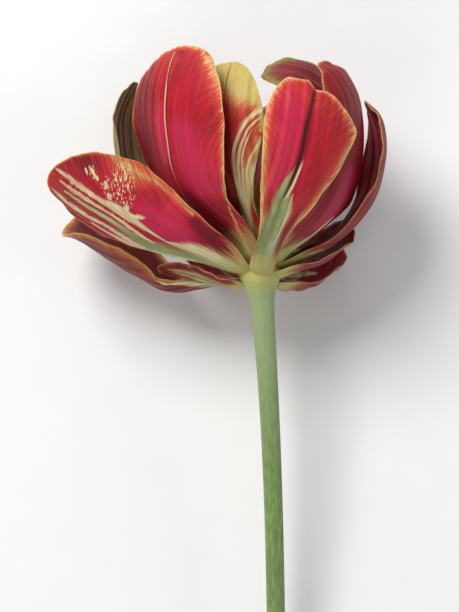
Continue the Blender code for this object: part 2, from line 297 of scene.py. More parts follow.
PETALS = (
    Petal("petal_outer_front",
          ((RISING, -3.5, 4), (13, 3.5, 8), (25, 13.5, 13), (34, 24, 17), (40, 33, 19.5), (43.5, 42, 21.5),
           (45, 52, 23.5), (44.5, 63.2, 25.8)),
          16.5, 18.8, cup=(25, 22, 22), widest=0.86, taper=2.4, shoulder=0.81, slant=-0.085, notch=0.03,
          ruffle=0.5, finish=CORAL, reach=(3.2, 0.6, 4.8), crease=0.8, seed=1, grid=FINE,
          # The dark rib line and the dark stroke along it are painted shade in the crease
          rib=Rib(((-0.2, 0.47, 0.1), (-0.17, 0.5, 0.35), (-0.12, 0.58, 0.5), (-0.06, 0.69, 0.5),
                   (-0.08, 0.79, 0.5), (-0.06, 0.86, 0.45), (-0.04, 0.93, 0.4), (-0.02, 0.98, 0.15)),
                  beside=CREAM_COLOUR, until=0.62, strength=0.9),
          markings=(
              green((0, 0, 3.4), (-0.1, 0.08, 3.2), (-0.3, 0.18, 3.4), (-0.3, 0.28, 3.7),
                    (-0.19, 0.38, 3.6), (-0.19, 0.45, 3.1), (-0.24, 0.5, 2.2), (-0.24, 0.55, 1.4),
                    (-0.18, 0.6, 0.8), (-0.12, 0.64, 0.2)),
              cream((0.3, 0.22, 0.3), (0.24, 0.34, 0.6), (0.15, 0.43, 0.8), (0.08, 0.48, 0.5),
                    (0.04, 0.52, 0.1)),
              painted_shade((-0.04, 0.97, 0.4), (-0.07, 0.85, 1.3), (-0.06, 0.72, 1.5), (-0.09, 0.6, 1.1),
                   (-0.14, 0.5, 0.4)),
              painted_shade((0.7, 0.12, 0.7), (0.62, 0.25, 1.5), (0.66, 0.38, 1.3), (0.75, 0.48, 0.4)),
              painted_shade((-0.85, 0.25, 1.2), (-0.8, 0.38, 1.6), (-0.8, 0.5, 0.6)),
              painted_sheen((-0.5, 0.92, 4), (-0.45, 0.75, 6), (-0.45, 0.62, 6), (-0.5, 0.54, 3)),
          )),
    Petal("petal_outer_left",
          ((SLOPING, -2, -62), (12, 0.5, -63), (22, 4.5, -64), (39.5, 11.5, -65), (55, 20.5, -68),
           (67, 29, -71), (74.5, 33.5, -72)),
          16.5, 20, cup=(20, 50, 42), roll=(0, -40, -42), widest=0.72, taper=0.72, shoulder=0.66,
          finish=FLAMED, reach=(0.5, 0.5, 1.3), solid=0.9, sweep=0.8, crease=0.15, seed=2, grid=FINE,
          rib=Rib(((0, 0.97, 0.08), (0, 0.9, 0.22), (0.01, 0.8, 0.26), (0.03, 0.7, 0.26), (0.02, 0.6, 0.26),
                   (-0.02, 0.52, 0.22), (-0.04, 0.44, 0.14), (-0.05, 0.36, 0.03)),
                  core=linear(160, 10, 40), beside=CREAM_COLOUR, strength=0.85),
          markings=(
              cream((0.14, 0.985, 0.35), (0.11, 0.94, 0.75), (0.08, 0.88, 1), (0.08, 0.81, 0.9),
                    (0.1, 0.74, 1), (0.13, 0.68, 1.5), (0.13, 0.62, 1.7), (0.12, 0.57, 1.2),
                    (0.1, 0.52, 0.7), (0.08, 0.46, 0.4), (0.06, 0.4, 0.2)),
              cream((0.18, 0.6, 0.7), (0.24, 0.57, 0.8), (0.3, 0.55, 0.3)),
              cream((-0.04, 0.94, 0.4), (-0.07, 0.88, 0.8), (-0.07, 0.8, 0.8), (-0.06, 0.74, 0.7),
                    (-0.05, 0.68, 0.6), (-0.06, 0.62, 0.6), (-0.09, 0.56, 0.5), (-0.12, 0.5, 0.4),
                    (-0.14, 0.44, 0.2)),
              green((-0.2, 0.9, 0.4), (-0.21, 0.82, 0.7), (-0.19, 0.74, 0.8), (-0.18, 0.66, 0.9),
                    (-0.22, 0.57, 1.3), (-0.28, 0.48, 2.2), (-0.3, 0.4, 3.4), (-0.3, 0.3, 4.2),
                    (-0.2, 0.2, 5), (-0.1, 0.1, 5), (0, 0, 4.4)),
              cream((-0.36, 0.95, 0.4), (-0.46, 0.88, 0.9), (-0.46, 0.81, 1), (-0.44, 0.74, 0.8),
                    (-0.4, 0.67, 0.7), (-0.41, 0.6, 0.8), (-0.45, 0.53, 1.1), (-0.5, 0.46, 1.4)),
              cream((-0.56, 0.72, 0.4), (-0.6, 0.64, 1), (-0.62, 0.56, 1.7), (-0.64, 0.48, 2.4),
                    (-0.64, 0.4, 2.9), (-0.64, 0.3, 2.8), (-0.6, 0.2, 2.4), (-0.6, 0.1, 2.2)),
              cream((0.05, 0.41, 0.2), (0.1, 0.37, 0.9), (0.17, 0.32, 1.9), (0.26, 0.27, 2.6),
                    (0.35, 0.22, 2.8), (0.42, 0.15, 2.6), (0.5, 0.08, 2)),
              cream((0.52, 0.875, 0.25), (0.49, 0.855, 0.5), (0.45, 0.84, 0.35), (0.43, 0.82, 0.45),
                    (0.4, 0.81, 0.15)),
              cream((0.46, 0.885, 0.2), (0.41, 0.87, 0.4), (0.37, 0.86, 0.2)),
              cream((0.47, 0.78, 0.2), (0.42, 0.77, 0.55), (0.37, 0.765, 0.5), (0.34, 0.77, 0.2)),
              cream((0.3, 0.735, 0.3), (0.27, 0.73, 0.8), (0.23, 0.72, 0.4)),
              cream((0.31, 0.645, 0.3), (0.27, 0.64, 0.9), (0.23, 0.63, 0.4)),
              flecks((0.8, 0.745, 3.4), (0.65, 0.72, 4.4), (0.5, 0.695, 4.2), (0.38, 0.665, 3),
                     (0.28, 0.645, 1.4)),
              flecks((0.54, 0.865, 1), (0.46, 0.845, 1.2), (0.38, 0.81, 0.8)),
              flecks((0.5, 0.78, 1.6), (0.4, 0.77, 1.8), (0.3, 0.74, 1.2)),
              gold((0.97, 0.86, 0.8), (0.94, 0.79, 3.6), (0.92, 0.73, 4.6), (0.94, 0.67, 4.2),
                   (1, 0.6, 2.2), (1, 0.5, 1.5), (1, 0.38, 0.9)),
              painted_sheen((0.4, 0.56, 4), (0.4, 0.45, 5), (0.32, 0.36, 3.6)),
              painted_shade((0.75, 0.94, 4), (0.6, 0.9, 4)),
              painted_shade((0.9, 0.36, 2), (0.85, 0.26, 3.4), (0.85, 0.16, 2)),
              painted_shade((-0.8, 0.9, 2.6), (-0.85, 0.78, 2.6)),
          )),
    Petal("petal_outer_right",
          ((SLOPING, -3, 70), (12, -0.5, 88), (20, 2, 106), (28, 6, 121), (33.5, 11, 128), (37, 17.5, 132)),
          12, 15, cup=(25, 30, 30), roll=(0, -4, -4), finish=WINE_WITH_PAINTED_SHADE, seed=3,
          markings=(
              green((0, 0, 3), (0.2, 0.12, 2.6), (0.5, 0.24, 2.2), (0.6, 0.38, 1.6), (0.5, 0.5, 0.8)),
              cream((1, 0.3, 1.6), (0.97, 0.45, 2.4), (0.93, 0.58, 2.4), (0.85, 0.68, 1.6),
                    (0.75, 0.75, 0.5)),
          )),
    Petal("petal_outer_low_left",
          ((LEVEL, -4.5, -114), (14, -4.5, -117), (24, -6, -118), (35, -6.8, -118), (46, -1, -117),
           (56, 7.5, -115), (64.5, 14.5, -114), (70, 19, -113)),
          17, 30, cup=(22, 58, 50), roll=(0, 0, 24), widest=0.82, taper=2.2, shoulder=0.74, finish=ORANGE,
          reach=(2, 2.4, 4), crease=0.3, seed=4,
          markings=(
              cream((0.9, 0.05, 1.4), (0.95, 0.2, 1.2), (0.97, 0.34, 0.7), (0.98, 0.42, 0.2)),
              green((0, 0, 3), (0.2, 0.12, 1.6), (0.5, 0.22, 0.4)),
          )),
    Petal("petal_outer_back_right",
          ((LEVEL, -4.5, 126), (12, -6, 141), (24, -6.5, 150), (36, -4, 155), (48, 2, 158), (58, 11, 159)),
          17, 15, cup=(25, 40, 35), finish=WINE_WITH_PAINTED_SHADE, seed=5,
          markings=(
              green((0, 0, 3.2), (0, 0.15, 3), (0.1, 0.35, 4), (0.2, 0.5, 3.4), (0.2, 0.58, 1)),
              cream((0.9, 0.5, 2.4), (0.6, 0.6, 3.2), (0.3, 0.65, 3), (0, 0.66, 2.2), (-0.3, 0.66, 0.6)),
          )),
    Petal("petal_outer_back_left",
          ((LEVEL, -4, -172), (14, -4.5, -166), (26, -3, -161), (38, 1.5, -158), (49, 8, -157),
           (58, 17, -157)),
          13, 15, cup=(25, 32, 30), ruffle=0.4, finish=WINE_WITH_PAINTED_SHADE, seed=6,
          markings=(
              green((0, 0, 3), (0, 0.15, 2.4), (0, 0.35, 1.4), (0, 0.55, 0.3)),
          )),
    Petal("petal_small_curled",
          ((LEVEL, -6.1, -86), (10, -5.5, -86), (15, -3.9, -87), (22, -1.7, -90), (29, 0, -95),
           (35.5, 1, -98)),
          5, 4.4, cup=(10, 35, 40), roll=(-10, -36, -42), claw=2.2, ruffle=0, finish=FLAMED_IN_PAINTED_SHADE,
          reach=(0.6, 1.4, 0.9), crease=0.1, seed=7,
          markings=(
              cream((0, 0, 2.4), (-0.1, 0.2, 1.8), (-0.2, 0.4, 1.9), (0, 0.55, 1.8), (0.05, 0.68, 1.5),
                    (0.05, 0.8, 0.8), (0.05, 0.88, 0.2)),
              green((-0.2, 0.1, 1.4), (-0.3, 0.35, 1.2), (-0.3, 0.5, 0.7)),
              painted_shade((-0.8, 0.6, 0.8), (-0.8, 0.45, 0.8)),
          )),
    Petal("petal_middle_front_left",
          ((RISING, 0, -30), (10.5, 6.5, -43), (17, 13, -53), (26.5, 22, -58.5), (34.5, 33.5, -57),
           (39, 45.3, -54), (40.5, 57.3, -51.5), (39, 67.6, -49), (35, 76.5, -46)),
          27, 25, cup=(25, 24, 34), widest=0.62, shoulder=0.72, slant=0.07, ruffle=0.6, reach=(2, 1.6, 2),
          solid=0.85, crease=-0.45, seed=8, grid=FINE,
          rib=Rib(((-0.1, 0.97, 0.12), (-0.08, 0.92, 0.2), (-0.03, 0.86, 0.24), (0.005, 0.8, 0.27),
                   (0.03, 0.7, 0.29), (0.045, 0.62, 0.29), (0.03, 0.55, 0.26), (0.01, 0.48, 0.2),
                   (0, 0.4, 0.14), (0, 0.3, 0.03)),
                  core=linear(216, 184, 136), until=0.95, strength=0.85),
          markings=(
              gold((0.4, 0.985, 2.6), (0.62, 0.95, 4), (0.82, 0.9, 4.6), (0.95, 0.83, 4.4), (1, 0.75, 3.2),
                   (1, 0.66, 1.8), (1, 0.56, 0.9)),
              painted_shade((-0.7, 0.92, 6), (-0.7, 0.75, 9), (-0.7, 0.55, 8)),
              painted_shade((0.1, 0.36, 5), (0.25, 0.26, 6), (0.1, 0.12, 5)),
              painted_sheen((-0.12, 0.76, 1.2), (-0.12, 0.64, 1.8), (-0.1, 0.54, 1.4)),
              painted_sheen((0.35, 0.66, 5), (0.45, 0.55, 7), (0.5, 0.46, 7), (0.4, 0.4, 3)),
              gold((0.95, 0.3, 0.4), (0.8, 0.2, 0.8), (0.7, 0.1, 1.2), (0.5, 0, 1.4)),
          )),
    Petal("petal_middle_front_right",
          ((RISING, 0, 36), (12, 6, 46), (21, 12.5, 54), (29, 20, 58), (34, 30, 61), (36, 40, 63),
           (36.5, 50, 63), (35, 60, 61), (31, 68, 57), (26, 71.5, 53)),
          17, 17, cup=(25, 30, 30), widest=0.6, finish=WINE_WITH_PAINTED_SHADE, reach=(2.2, 1.2, 0.9), crease=0.2, seed=9,
          markings=(
              green((0, 0, 3), (0, 0.08, 2.8), (0.1, 0.15, 1.8), (0.18, 0.22, 0.9), (0.22, 0.28, 0.2)),
              cream((0.5, 0.04, 1.6), (0.4, 0.13, 1.5), (0.3, 0.2, 1.3), (0.3, 0.27, 0.8),
                    (0.3, 0.34, 0.2)),
              painted_sheen((0.05, 0.28, 2), (0, 0.38, 3.4), (0, 0.52, 2.4)),
              gold((-0.9, 0.97, 1.2), (-0.95, 0.88, 3.4), (-1, 0.78, 2.8), (-1, 0.68, 1.4)),
          )),
    Petal("petal_middle_right",
          ((RISING, 0, 92), (14, 3.5, 95), (24.5, 8.5, 97), (34, 16.5, 98), (40.5, 26, 98), (43.5, 38, 98),
           (43.5, 47, 98), (41.5, 54, 98), (37, 59, 97)),
          17, 17, cup=(25, 30, 30), finish=WINE_WITH_PAINTED_SHADE, reach=(1.4, 1.4, 1), seed=10,
          markings=(
              green((0, 0, 5), (0, 0.1, 5), (-0.05, 0.18, 3.8), (-0.1, 0.23, 2.2), (-0.1, 0.28, 0.4)),
              cream((-0.8, 0.04, 1.2), (-0.8, 0.12, 1.2), (-0.7, 0.19, 0.9), (-0.5, 0.25, 0.4)),
          )),
    Petal("petal_middle_back_right",
          ((RISING, 0, 146), (12, 5, 145), (21, 12, 144), (29, 22, 143), (34, 34, 143), (36, 46, 143),
           (35, 56, 143), (31, 64, 142)),
          19, 19, cup=(25, 34, 30), finish=WINE_WITH_PAINTED_SHADE, seed=11,
          markings=(
              green((0, 0, 3), (0, 0.2, 2.6), (0, 0.4, 1.4), (0, 0.55, 0.3)),
          )),
    Petal("petal_middle_back_left",
          ((RISING, 0, -160), (13, 4, -161), (23, 10.5, -162), (31.5, 20.5, -163), (37, 32, -163),
           (39, 44, -163), (38, 55, -163), (33, 64, -163)),
          20, 20, cup=(25, 34, 30), seed=12,
          markings=(
              green((0, 0, 3), (0, 0.2, 2.8), (0, 0.4, 1.6), (0, 0.58, 0.3)),
              cream((0.12, 0.3, 0.3), (0.1, 0.5, 0.7), (0.12, 0.7, 0.8), (0.1, 0.85, 0.3)),
          )),
    Petal("petal_middle_left",
          ((RISING, 0, -98), (14, 3, -101), (26, 8.5, -103), (38, 17.5, -105), (46, 29, -106),
           (50, 40, -106), (51, 52, -106), (48.5, 60, -105), (44, 66, -104)),
          17, 16, cup=(25, 30, 30), finish=OLIVE, reach=(12, 15, 12), solid=1.6, seed=13,
          markings=(
              green((0, 0, 2.8), (0, 0.15, 2.2), (0, 0.35, 1), (0, 0.45, 0.2)),
          )),
    Petal("petal_inner_front",
          ((RISING, 3.5, -14), (9.5, 10, -15), (15.5, 18, -18), (23, 27, -20), (29.5, 37, -21),
           (33, 47, -21), (33.5, 56, -21), (30.5, 65, -21), (26, 71, -21)),
          20, 14.4, cup=(25, 28, 30), widest=0.8, taper=3, finish=GOLDEN, reach=(2, 8, 1.2), solid=2,
          crease=0.2, seed=14, grid=FINE,
          markings=(
              cream((1, 0.8, 1.3), (0.93, 0.785, 1.1), (0.62, 0.74, 0.95), (0.42, 0.69, 0.8),
                    (0.28, 0.63, 0.65), (0.2, 0.58, 0.6), (0.155, 0.52, 0.6), (0.145, 0.46, 0.6),
                    (0.12, 0.4, 0.6), (0.06, 0.32, 0.6)),
              cream((0.76, 0.725, 0.3), (0.55, 0.68, 0.45), (0.41, 0.62, 0.5), (0.33, 0.565, 0.5),
                    (0.29, 0.5, 0.55), (0.27, 0.45, 0.6), (0.22, 0.38, 0.7), (0.16, 0.3, 0.9),
                    (0.06, 0.2, 1), (0, 0.12, 1.2)),
              cream((0.6, 0.67, 0.15), (0.51, 0.62, 0.3), (0.44, 0.565, 0.35), (0.41, 0.52, 0.35),
                    (0.42, 0.47, 0.4), (0.4, 0.4, 0.5), (0.34, 0.32, 0.5)),
              cream((0.95, 0.67, 0.3), (0.84, 0.61, 0.5), (0.68, 0.55, 0.55), (0.6, 0.5, 0.6),
                    (0.56, 0.46, 0.7), (0.58, 0.41, 0.8), (0.58, 0.35, 0.9), (0.45, 0.28, 1),
                    (0.3, 0.2, 1.2), (0, 0.12, 1.4)),
              cream((1, 0.61, 0.3), (0.93, 0.55, 0.5), (0.82, 0.5, 0.5), (0.76, 0.46, 0.5),
                    (0.8, 0.4, 0.4)),
              gold((-0.2, 1, 9), (0.1, 0.94, 11), (0.4, 0.88, 10), (0.75, 0.84, 6.5)),
              painted_shade((-0.3, 0.3, 3), (-0.3, 0.15, 1.5)),
          )),
    Petal("petal_inner_front_right",
          ((RISING, 3.5, 44), (9, 10, 42), (14, 18, 39), (20, 28, 36), (25, 39, 33), (26, 49, 31),
           (25, 58, 30)),
          12, 10.5, cup=(25, 28, 30), finish=WINE_WITH_PAINTED_SHADE, reach=(0.6, 1, 0.6), seed=15),
    Petal("petal_inner_right",
          ((RISING, 3.5, 100), (11, 9, 96), (19, 16, 91), (26, 26, 86), (30, 38, 82), (31, 48, 79),
           (29, 56.5, 76), (24, 63, 71), (17, 68, 62), (9, 69.5, 48), (3, 68.5, 30)),
          14, 14, cup=(25, 30, 30), roll=(0, 0, 40), ruffle=0.6, phase=0.4, finish=OLIVE, reach=(1, 6, 1),
          solid=1.5, seed=16),
    Petal("petal_inner_back",
          ((RISING, 3.5, 166), (10, 9, 168), (17, 16, 168), (25, 26, 168), (30, 38, 168), (31, 49, 168),
           (29, 59, 168)),
          15, 15, cup=(25, 28, 30), finish=WINE_WITH_PAINTED_SHADE, seed=17),
    Petal("petal_inner_left",
          ((RISING, 3.5, -92), (10, 9, -96), (17, 16, -99), (25, 26, -101), (31, 38, -102), (32, 49, -102),
           (29.5, 58, -102)),
          15, 15, cup=(25, 28, 30), seed=18),
)


def smooth_curve(stations: tuple[Triple, ...], per_span: int) -> np.ndarray:
    """Runs a smooth curve through stations.

    Args:
        stations: The points that it passes.
        per_span: How many steps it takes from each to the next.

    Returns:
        The points of the curve.
    """
    marks = np.asarray(stations, float)
    slopes = np.gradient(marks, axis=0)
    place = np.linspace(0, len(marks) - 1, per_span * (len(marks) - 1) + 1)
    low = np.minimum(place.astype(int), len(marks) - 2)
    x = (place - low)[:, None]
    return (marks[low] * (1 + 2 * x) * (1 - x) ** 2 + slopes[low] * x * (1 - x) ** 2
            + marks[low + 1] * x ** 2 * (3 - 2 * x) - slopes[low + 1] * x ** 2 * (1 - x))


def unit(vectors: np.ndarray) -> np.ndarray:
    """The vectors at length 1."""
    return vectors / np.maximum(np.linalg.norm(vectors, axis=-1, keepdims=True), 1e-12)


def smooth_step(value: np.ndarray, low: float, high: float) -> np.ndarray:
    """Rises smoothly from 0 at low to 1 at high."""
    x = np.clip((value - low) / (high - low), 0, 1)
    return x * x * (3 - 2 * x)


def add_mesh(name: str, points: np.ndarray, faces: np.ndarray,
             fields: dict[str, np.ndarray]) -> bpy.types.Object:
    """Makes a smooth-shaded mesh object of four-sided faces.

    Args:
        name: The name of the piece.
        points: Its vertices, in metres.
        faces: Rows of four vertex numbers.
        fields: Values at the vertices that its material reads, by name.

    Returns:
        The object, in the scene.
    """
    mesh = bpy.data.meshes.new(name)
    mesh.from_pydata(points.tolist(), [], faces.tolist())
    mesh.polygons.foreach_set("use_smooth", np.ones(len(faces), bool))
    for label, values in fields.items():
        layer = mesh.attributes.new(label, "FLOAT", "POINT")
        layer.data.foreach_set("value", np.ascontiguousarray(values, np.float32).ravel())
    mesh.update()
    made = bpy.data.objects.new(name, mesh)
    bpy.context.scene.collection.objects.link(made)
    return made


def seat_piece(piece: bpy.types.Object, material: bpy.types.Material, node: str) -> None:
    """Gives a piece its material, its body and the CAD node that it stands for.

    Args:
        piece: The finished piece.
        material: Its material.
        node: The CAD node that it replaces.
    """
    piece.data.materials.append(material)
    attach(piece, "root")
    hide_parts(node)
    LOG.info("%s: %d faces for %s", piece.name, len(piece.data.polygons), node)


class NodeSheet:
    """Adds and joins the nodes of one tree."""

    def __init__(self, tree: bpy.types.NodeTree) -> None:
        """Takes the tree to draw in."""
        self.tree = tree

    def add(self, kind: str, **settings: object) -> bpy.types.Node:
        """Adds a node.

        Args:
            kind: Its type.
            settings: Its settings, by name.

        Returns:
            The node.
        """
        node = self.tree.nodes.new(kind)
        for key, value in settings.items():
            setattr(node, key, value)
        return node

    def feed(self, socket: Socket, value: Feed) -> None:
        """Links a socket to another, or sets it to a plain value.

        Args:
            socket: The socket that is fed.
            value: The other socket, or the value.
        """
        if isinstance(value, Socket):
            self.tree.links.new(value, socket)
        else:
            socket.default_value = value

    def field(self, name: str) -> Socket:
        """The values that the mesh carries under this name."""
        return self.add("ShaderNodeAttribute", attribute_name=name).outputs["Fac"]

    def math(self, operation: str, first: Feed, second: Feed = 0.0, clamp: bool = False) -> Socket:
        """Adds a sum.

        Args:
            operation: What is done with the values.
            first: The first value.
            second: The second one.
            clamp: Whether the result is kept between 0 and 1.

        Returns:
            The result.
        """
        node = self.add("ShaderNodeMath", operation=operation, use_clamp=clamp)
        self.feed(node.inputs[0], first)
        self.feed(node.inputs[1], second)
        return node.outputs[0]

    def plus(self, first: Feed, second: Feed) -> Socket:
        """The sum of two values."""
        return self.math("ADD", first, second)

    def less(self, first: Feed, second: Feed) -> Socket:
        """The first value less the second."""
        return self.math("SUBTRACT", first, second)

    def times(self, first: Feed, second: Feed) -> Socket:
        """The product of two values."""
        return self.math("MULTIPLY", first, second)

    def rise(self, value: Feed, low: Feed, high: Feed) -> Socket:
        """Makes a mask that goes smoothly from 0 to 1.

        Args:
            value: What it depends on.
            low: The value at which it is 0.
            high: The value at which it is 1, which may be below the other.

        Returns:
            The mask.
        """
        node = self.add("ShaderNodeMapRange", interpolation_type="SMOOTHSTEP")
        self.feed(node.inputs["Value"], value)
        self.feed(node.inputs["From Min"], low)
        self.feed(node.inputs["From Max"], high)
        return node.outputs["Result"]

    def blend(self, factor: Feed, low: Feed, high: Feed) -> Socket:
        """Mixes two colours.

        Args:
            factor: The share of the second, from 0 to 1.
            low: The first colour.
            high: The second one.

        Returns:
            The colour between them.
        """
        node = self.add("ShaderNodeMix", data_type="RGBA")
        for socket, value in ((node.inputs[0], factor), (node.inputs[6], low), (node.inputs[7], high)):
            self.feed(socket, value)
        return node.outputs[2]

    def glaze(self, under: Feed, over: Feed, mask: Feed, share: float) -> Socket:
        """A colour laid over another, by this share where the mask is 1."""
        return self.blend(self.times(mask, share), under, over)

    def vector(self, x: Feed, y: Feed, z: Feed) -> Socket:
        """Joins three values into a vector.

        Args:
            x: The first value.
            y: The second one.
            z: The third one.

        Returns:
            The vector.
        """
        node = self.add("ShaderNodeCombineXYZ")
        for socket, value in zip(node.inputs, (x, y, z)):
            self.feed(socket, value)
        return node.outputs[0]

    def noise(self, vector: Socket, scale: float, detail: float = 2.0, rough: float = 0.5) -> Socket:
        """Adds soft noise.

        Args:
            vector: The place in the noise.
            scale: How many swells it has to one unit of that place.
            detail: How many finer layers it has.
            rough: How strong each layer is beside the one before.

        Returns:
            The noise, from 0 to 1.
        """
        node = self.add("ShaderNodeTexNoise")
        self.feed(node.inputs["Vector"], vector)
        self.feed(node.inputs["Scale"], scale)
        self.feed(node.inputs["Detail"], detail)
        self.feed(node.inputs["Roughness"], rough)
        return node.outputs["Fac"]

    def group(self, tree: bpy.types.NodeTree, **values: Feed) -> bpy.types.Node:
        """Places a node group.

        Args:
            tree: The group.
            values: What its inputs are fed, by name.

        Returns:
            Its node.
        """
        node = self.add("ShaderNodeGroup", node_tree=tree)
        for key, value in values.items():
            self.feed(node.inputs[key], value)
        return node


class Effect:
    """A shader node group with named sockets, for an effect that several materials share."""

    def __init__(self, name: str, takes: dict[str, float], gives: tuple[str, ...]) -> None:
        """Starts the group.

        Args:
            name: The group's name.
            takes: Its inputs, with their usual values.
            gives: Its outputs.
        """
        self.tree = bpy.data.node_groups.new(name, "ShaderNodeTree")
        for label, value in takes.items():
            socket = self.tree.interface.new_socket(label, in_out="INPUT", socket_type="NodeSocketFloat")
            socket.default_value = value
        for label in gives:
            self.tree.interface.new_socket(label, in_out="OUTPUT", socket_type="NodeSocketFloat")
        self.sheet = NodeSheet(self.tree)
        self.takes = self.sheet.add("NodeGroupInput").outputs
        self.gives = self.sheet.add("NodeGroupOutput").inputs


@dataclass
class Effects:
    """The effects that the flower's materials share.

    Attributes:
        veins: Lines, streaks and dashes that follow a petal's veins.
        brush: The feathered edge of a marking.
        grain: The fine skin of stem, pistil and stamens.
    """

    veins: bpy.types.NodeTree = field(init=False)
    brush: bpy.types.NodeTree = field(init=False)
    grain: bpy.types.NodeTree = field(init=False)

    def __post_init__(self) -> None:
        """Builds the groups."""
        self.veins = self.make_veins()
        self.brush = self.make_brush()
        self.grain = self.make_grain()

    @staticmethod
    def make_veins() -> bpy.types.NodeTree:
        """Noise drawn out along the veins, at several widths, and clouds.

        Returns:
            The group. Its outputs go from 0 to 1: Ribs and Streaks are soft, Lines are thin and bright,
            Dashes run across the veins and Clouds are wide.
        """
        effect = Effect("petal_veins", {"Seed": 0.0}, ("Ribs", "Streaks", "Lines", "Dashes", "Clouds"))
        sheet = effect.sheet
        vein, length, side = sheet.field("vein"), sheet.field("length"), sheet.field("side")
        seed = effect.takes["Seed"]
        aside = sheet.plus(seed, sheet.times(side, 0.04))
        soft = {}
        for label, across, along, detail in (("Ribs", 1.9, 0.07, 1.0), ("Streaks", 1.1, 0.1, 3.0),
                                             ("Lines", 1.15, 0.05, 1.0)):
            place = sheet.vector(sheet.times(vein, across), sheet.times(length, along), aside)
            soft[label] = sheet.noise(place, 1.0, detail, 0.6)
        sheet.feed(effect.gives["Ribs"], soft["Ribs"])
        sheet.feed(effect.gives["Streaks"], soft["Streaks"])
        ridge = sheet.math("ABSOLUTE", sheet.less(soft["Lines"], 0.5))
        sheet.feed(effect.gives["Lines"], sheet.math("SUBTRACT", 1.0, sheet.times(ridge, 11.0), clamp=True))
        turned = sheet.less(sheet.times(length, 0.86), sheet.times(side, 0.51))
        upright = sheet.plus(sheet.times(side, 0.86), sheet.times(length, 0.51))
        place = sheet.vector(sheet.times(turned, 2.2), sheet.times(upright, 0.75), seed)
        sheet.feed(effect.gives["Dashes"], sheet.noise(place, 1.0, 1.0))
        place = sheet.vector(sheet.times(side, 0.12), sheet.times(length, 0.06), seed)
        sheet.feed(effect.gives["Clouds"], sheet.noise(place, 1.0, 2.0))
        return effect.tree

    @staticmethod
    def make_brush() -> bpy.types.NodeTree:
        """The mask of a marking, with an edge that is drawn out along the veins.

        Returns:
            The group. Field is 1 in the middle of the marking and 0 at its edge. Streaks and Lines that are
            above their usual values push that edge out.
        """
        takes = {"Field": 0.0, "Streaks": 0.5, "Lines": 0.4, "Feather": 1.0, "Softness": 0.25}
        effect = Effect("petal_brush", takes, ("Mask",))
        sheet, given = effect.sheet, effect.takes
        hairs = sheet.times(sheet.less(given["Lines"], takes["Lines"]), 0.35)
        push = sheet.plus(sheet.less(given["Streaks"], takes["Streaks"]), hairs)
        value = sheet.plus(given["Field"], sheet.times(push, given["Feather"]))
        low = sheet.times(given["Softness"], -1.0)
        sheet.feed(effect.gives["Mask"], sheet.rise(value, low, given["Softness"]))
        return effect.tree

    @staticmethod
    def make_grain() -> bpy.types.NodeTree:
        """A skin of small cells with longer streaks.

        Returns:
            The group. It gives Grain and Streaks from 0 to 1. Size is in millimetres, and Stretch above 1
            draws the streaks out along the flower's axis.
        """
        effect = Effect("plant_skin", {"Size": 0.3, "Stretch": 12.0}, ("Grain", "Streaks"))
        sheet, takes = effect.sheet, effect.takes
        parts = sheet.add("ShaderNodeSeparateXYZ")
        sheet.feed(parts.inputs[0], sheet.add("ShaderNodeTexCoord").outputs["Object"])
        cells = sheet.math("DIVIDE", 1.0 / MM, takes["Size"])
        x, y, z = (sheet.times(part, cells) for part in parts.outputs)
        drawn = sheet.math("DIVIDE", y, takes["Stretch"])
        sheet.feed(effect.gives["Grain"], sheet.noise(sheet.vector(x, y, z), 1.0, 1.0))
        sheet.feed(effect.gives["Streaks"], sheet.noise(sheet.vector(x, drawn, z), 0.5, 2.0))
        return effect.tree


def start_material(name: str) -> tuple[bpy.types.Material, NodeSheet, bpy.types.Node]:
    """Starts a material with its principled shader.

    Args:
        name: The material's name.

    Returns:
        The material, its sheet of nodes and the shader.
    """
    material = bpy.data.materials.new(name)
    material.use_nodes = True
    return material, NodeSheet(material.node_tree), material.node_tree.nodes["Principled BSDF"]


@dataclass(frozen=True)
class Skin:
    """How a surface takes the light.

    Attributes:
        rough: Its least roughness.
        rougher: What is added to that at its dullest places.
        bump: Strength of its fine relief, up to 1.
        depth: Depth of that relief, in millimetres.
        inward: Share of the light that goes into it and comes out again.
        spread: How far red, green and blue light goes in it, for each millimetre of its scale.
        scale: The scale of that spread, in millimetres.
    """

    rough: float
    rougher: float
    bump: float
    depth: float
    inward: float = 0.0
    spread: Triple = (1.0, 1.0, 1.0)
    scale: float = 1.0

    def cover(self, sheet: NodeSheet, shader: bpy.types.Node, colour: Socket, dull: Socket,
              height: Socket) -> None:
        """Feeds a shader its colour, roughness and relief.

        Args:
            sheet: The material's nodes.
            shader: Its shader.
            colour: The colour.
            dull: Where it is dullest, from 0 to 1.
            height: The height of the relief.
        """
        sheet.feed(shader.inputs["Base Color"], colour)
        sheet.feed(shader.inputs["Roughness"], sheet.plus(self.rough, sheet.times(dull, self.rougher)))
        bump = sheet.add("ShaderNodeBump")
        bump.inputs["Strength"].default_value = self.bump
        bump.inputs["Distance"].default_value = self.depth * MM
        sheet.feed(bump.inputs["Height"], height)
        sheet.feed(shader.inputs["Normal"], bump.outputs["Normal"])
        shader.inputs["Subsurface Weight"].default_value = self.inward
        shader.inputs["Subsurface Radius"].default_value = self.spread
        shader.inputs["Subsurface Scale"].default_value = self.scale * MM


PETAL_SKIN = Skin(rough=0.4, rougher=0.2, bump=0.5, depth=0.17, inward=0.12, spread=(1.0, 0.3, 0.2),
                  scale=1.2)
STEM_SKIN = Skin(rough=0.38, rougher=0.2, bump=0.4, depth=0.15, inward=0.1, spread=(0.6, 1.0, 0.3))
PISTIL_SKIN = Skin(rough=0.4, rougher=0.35, bump=0.6, depth=0.2)
POLLEN_SKIN = Skin(rough=0.45, rougher=0.45, bump=0.8, depth=0.25)


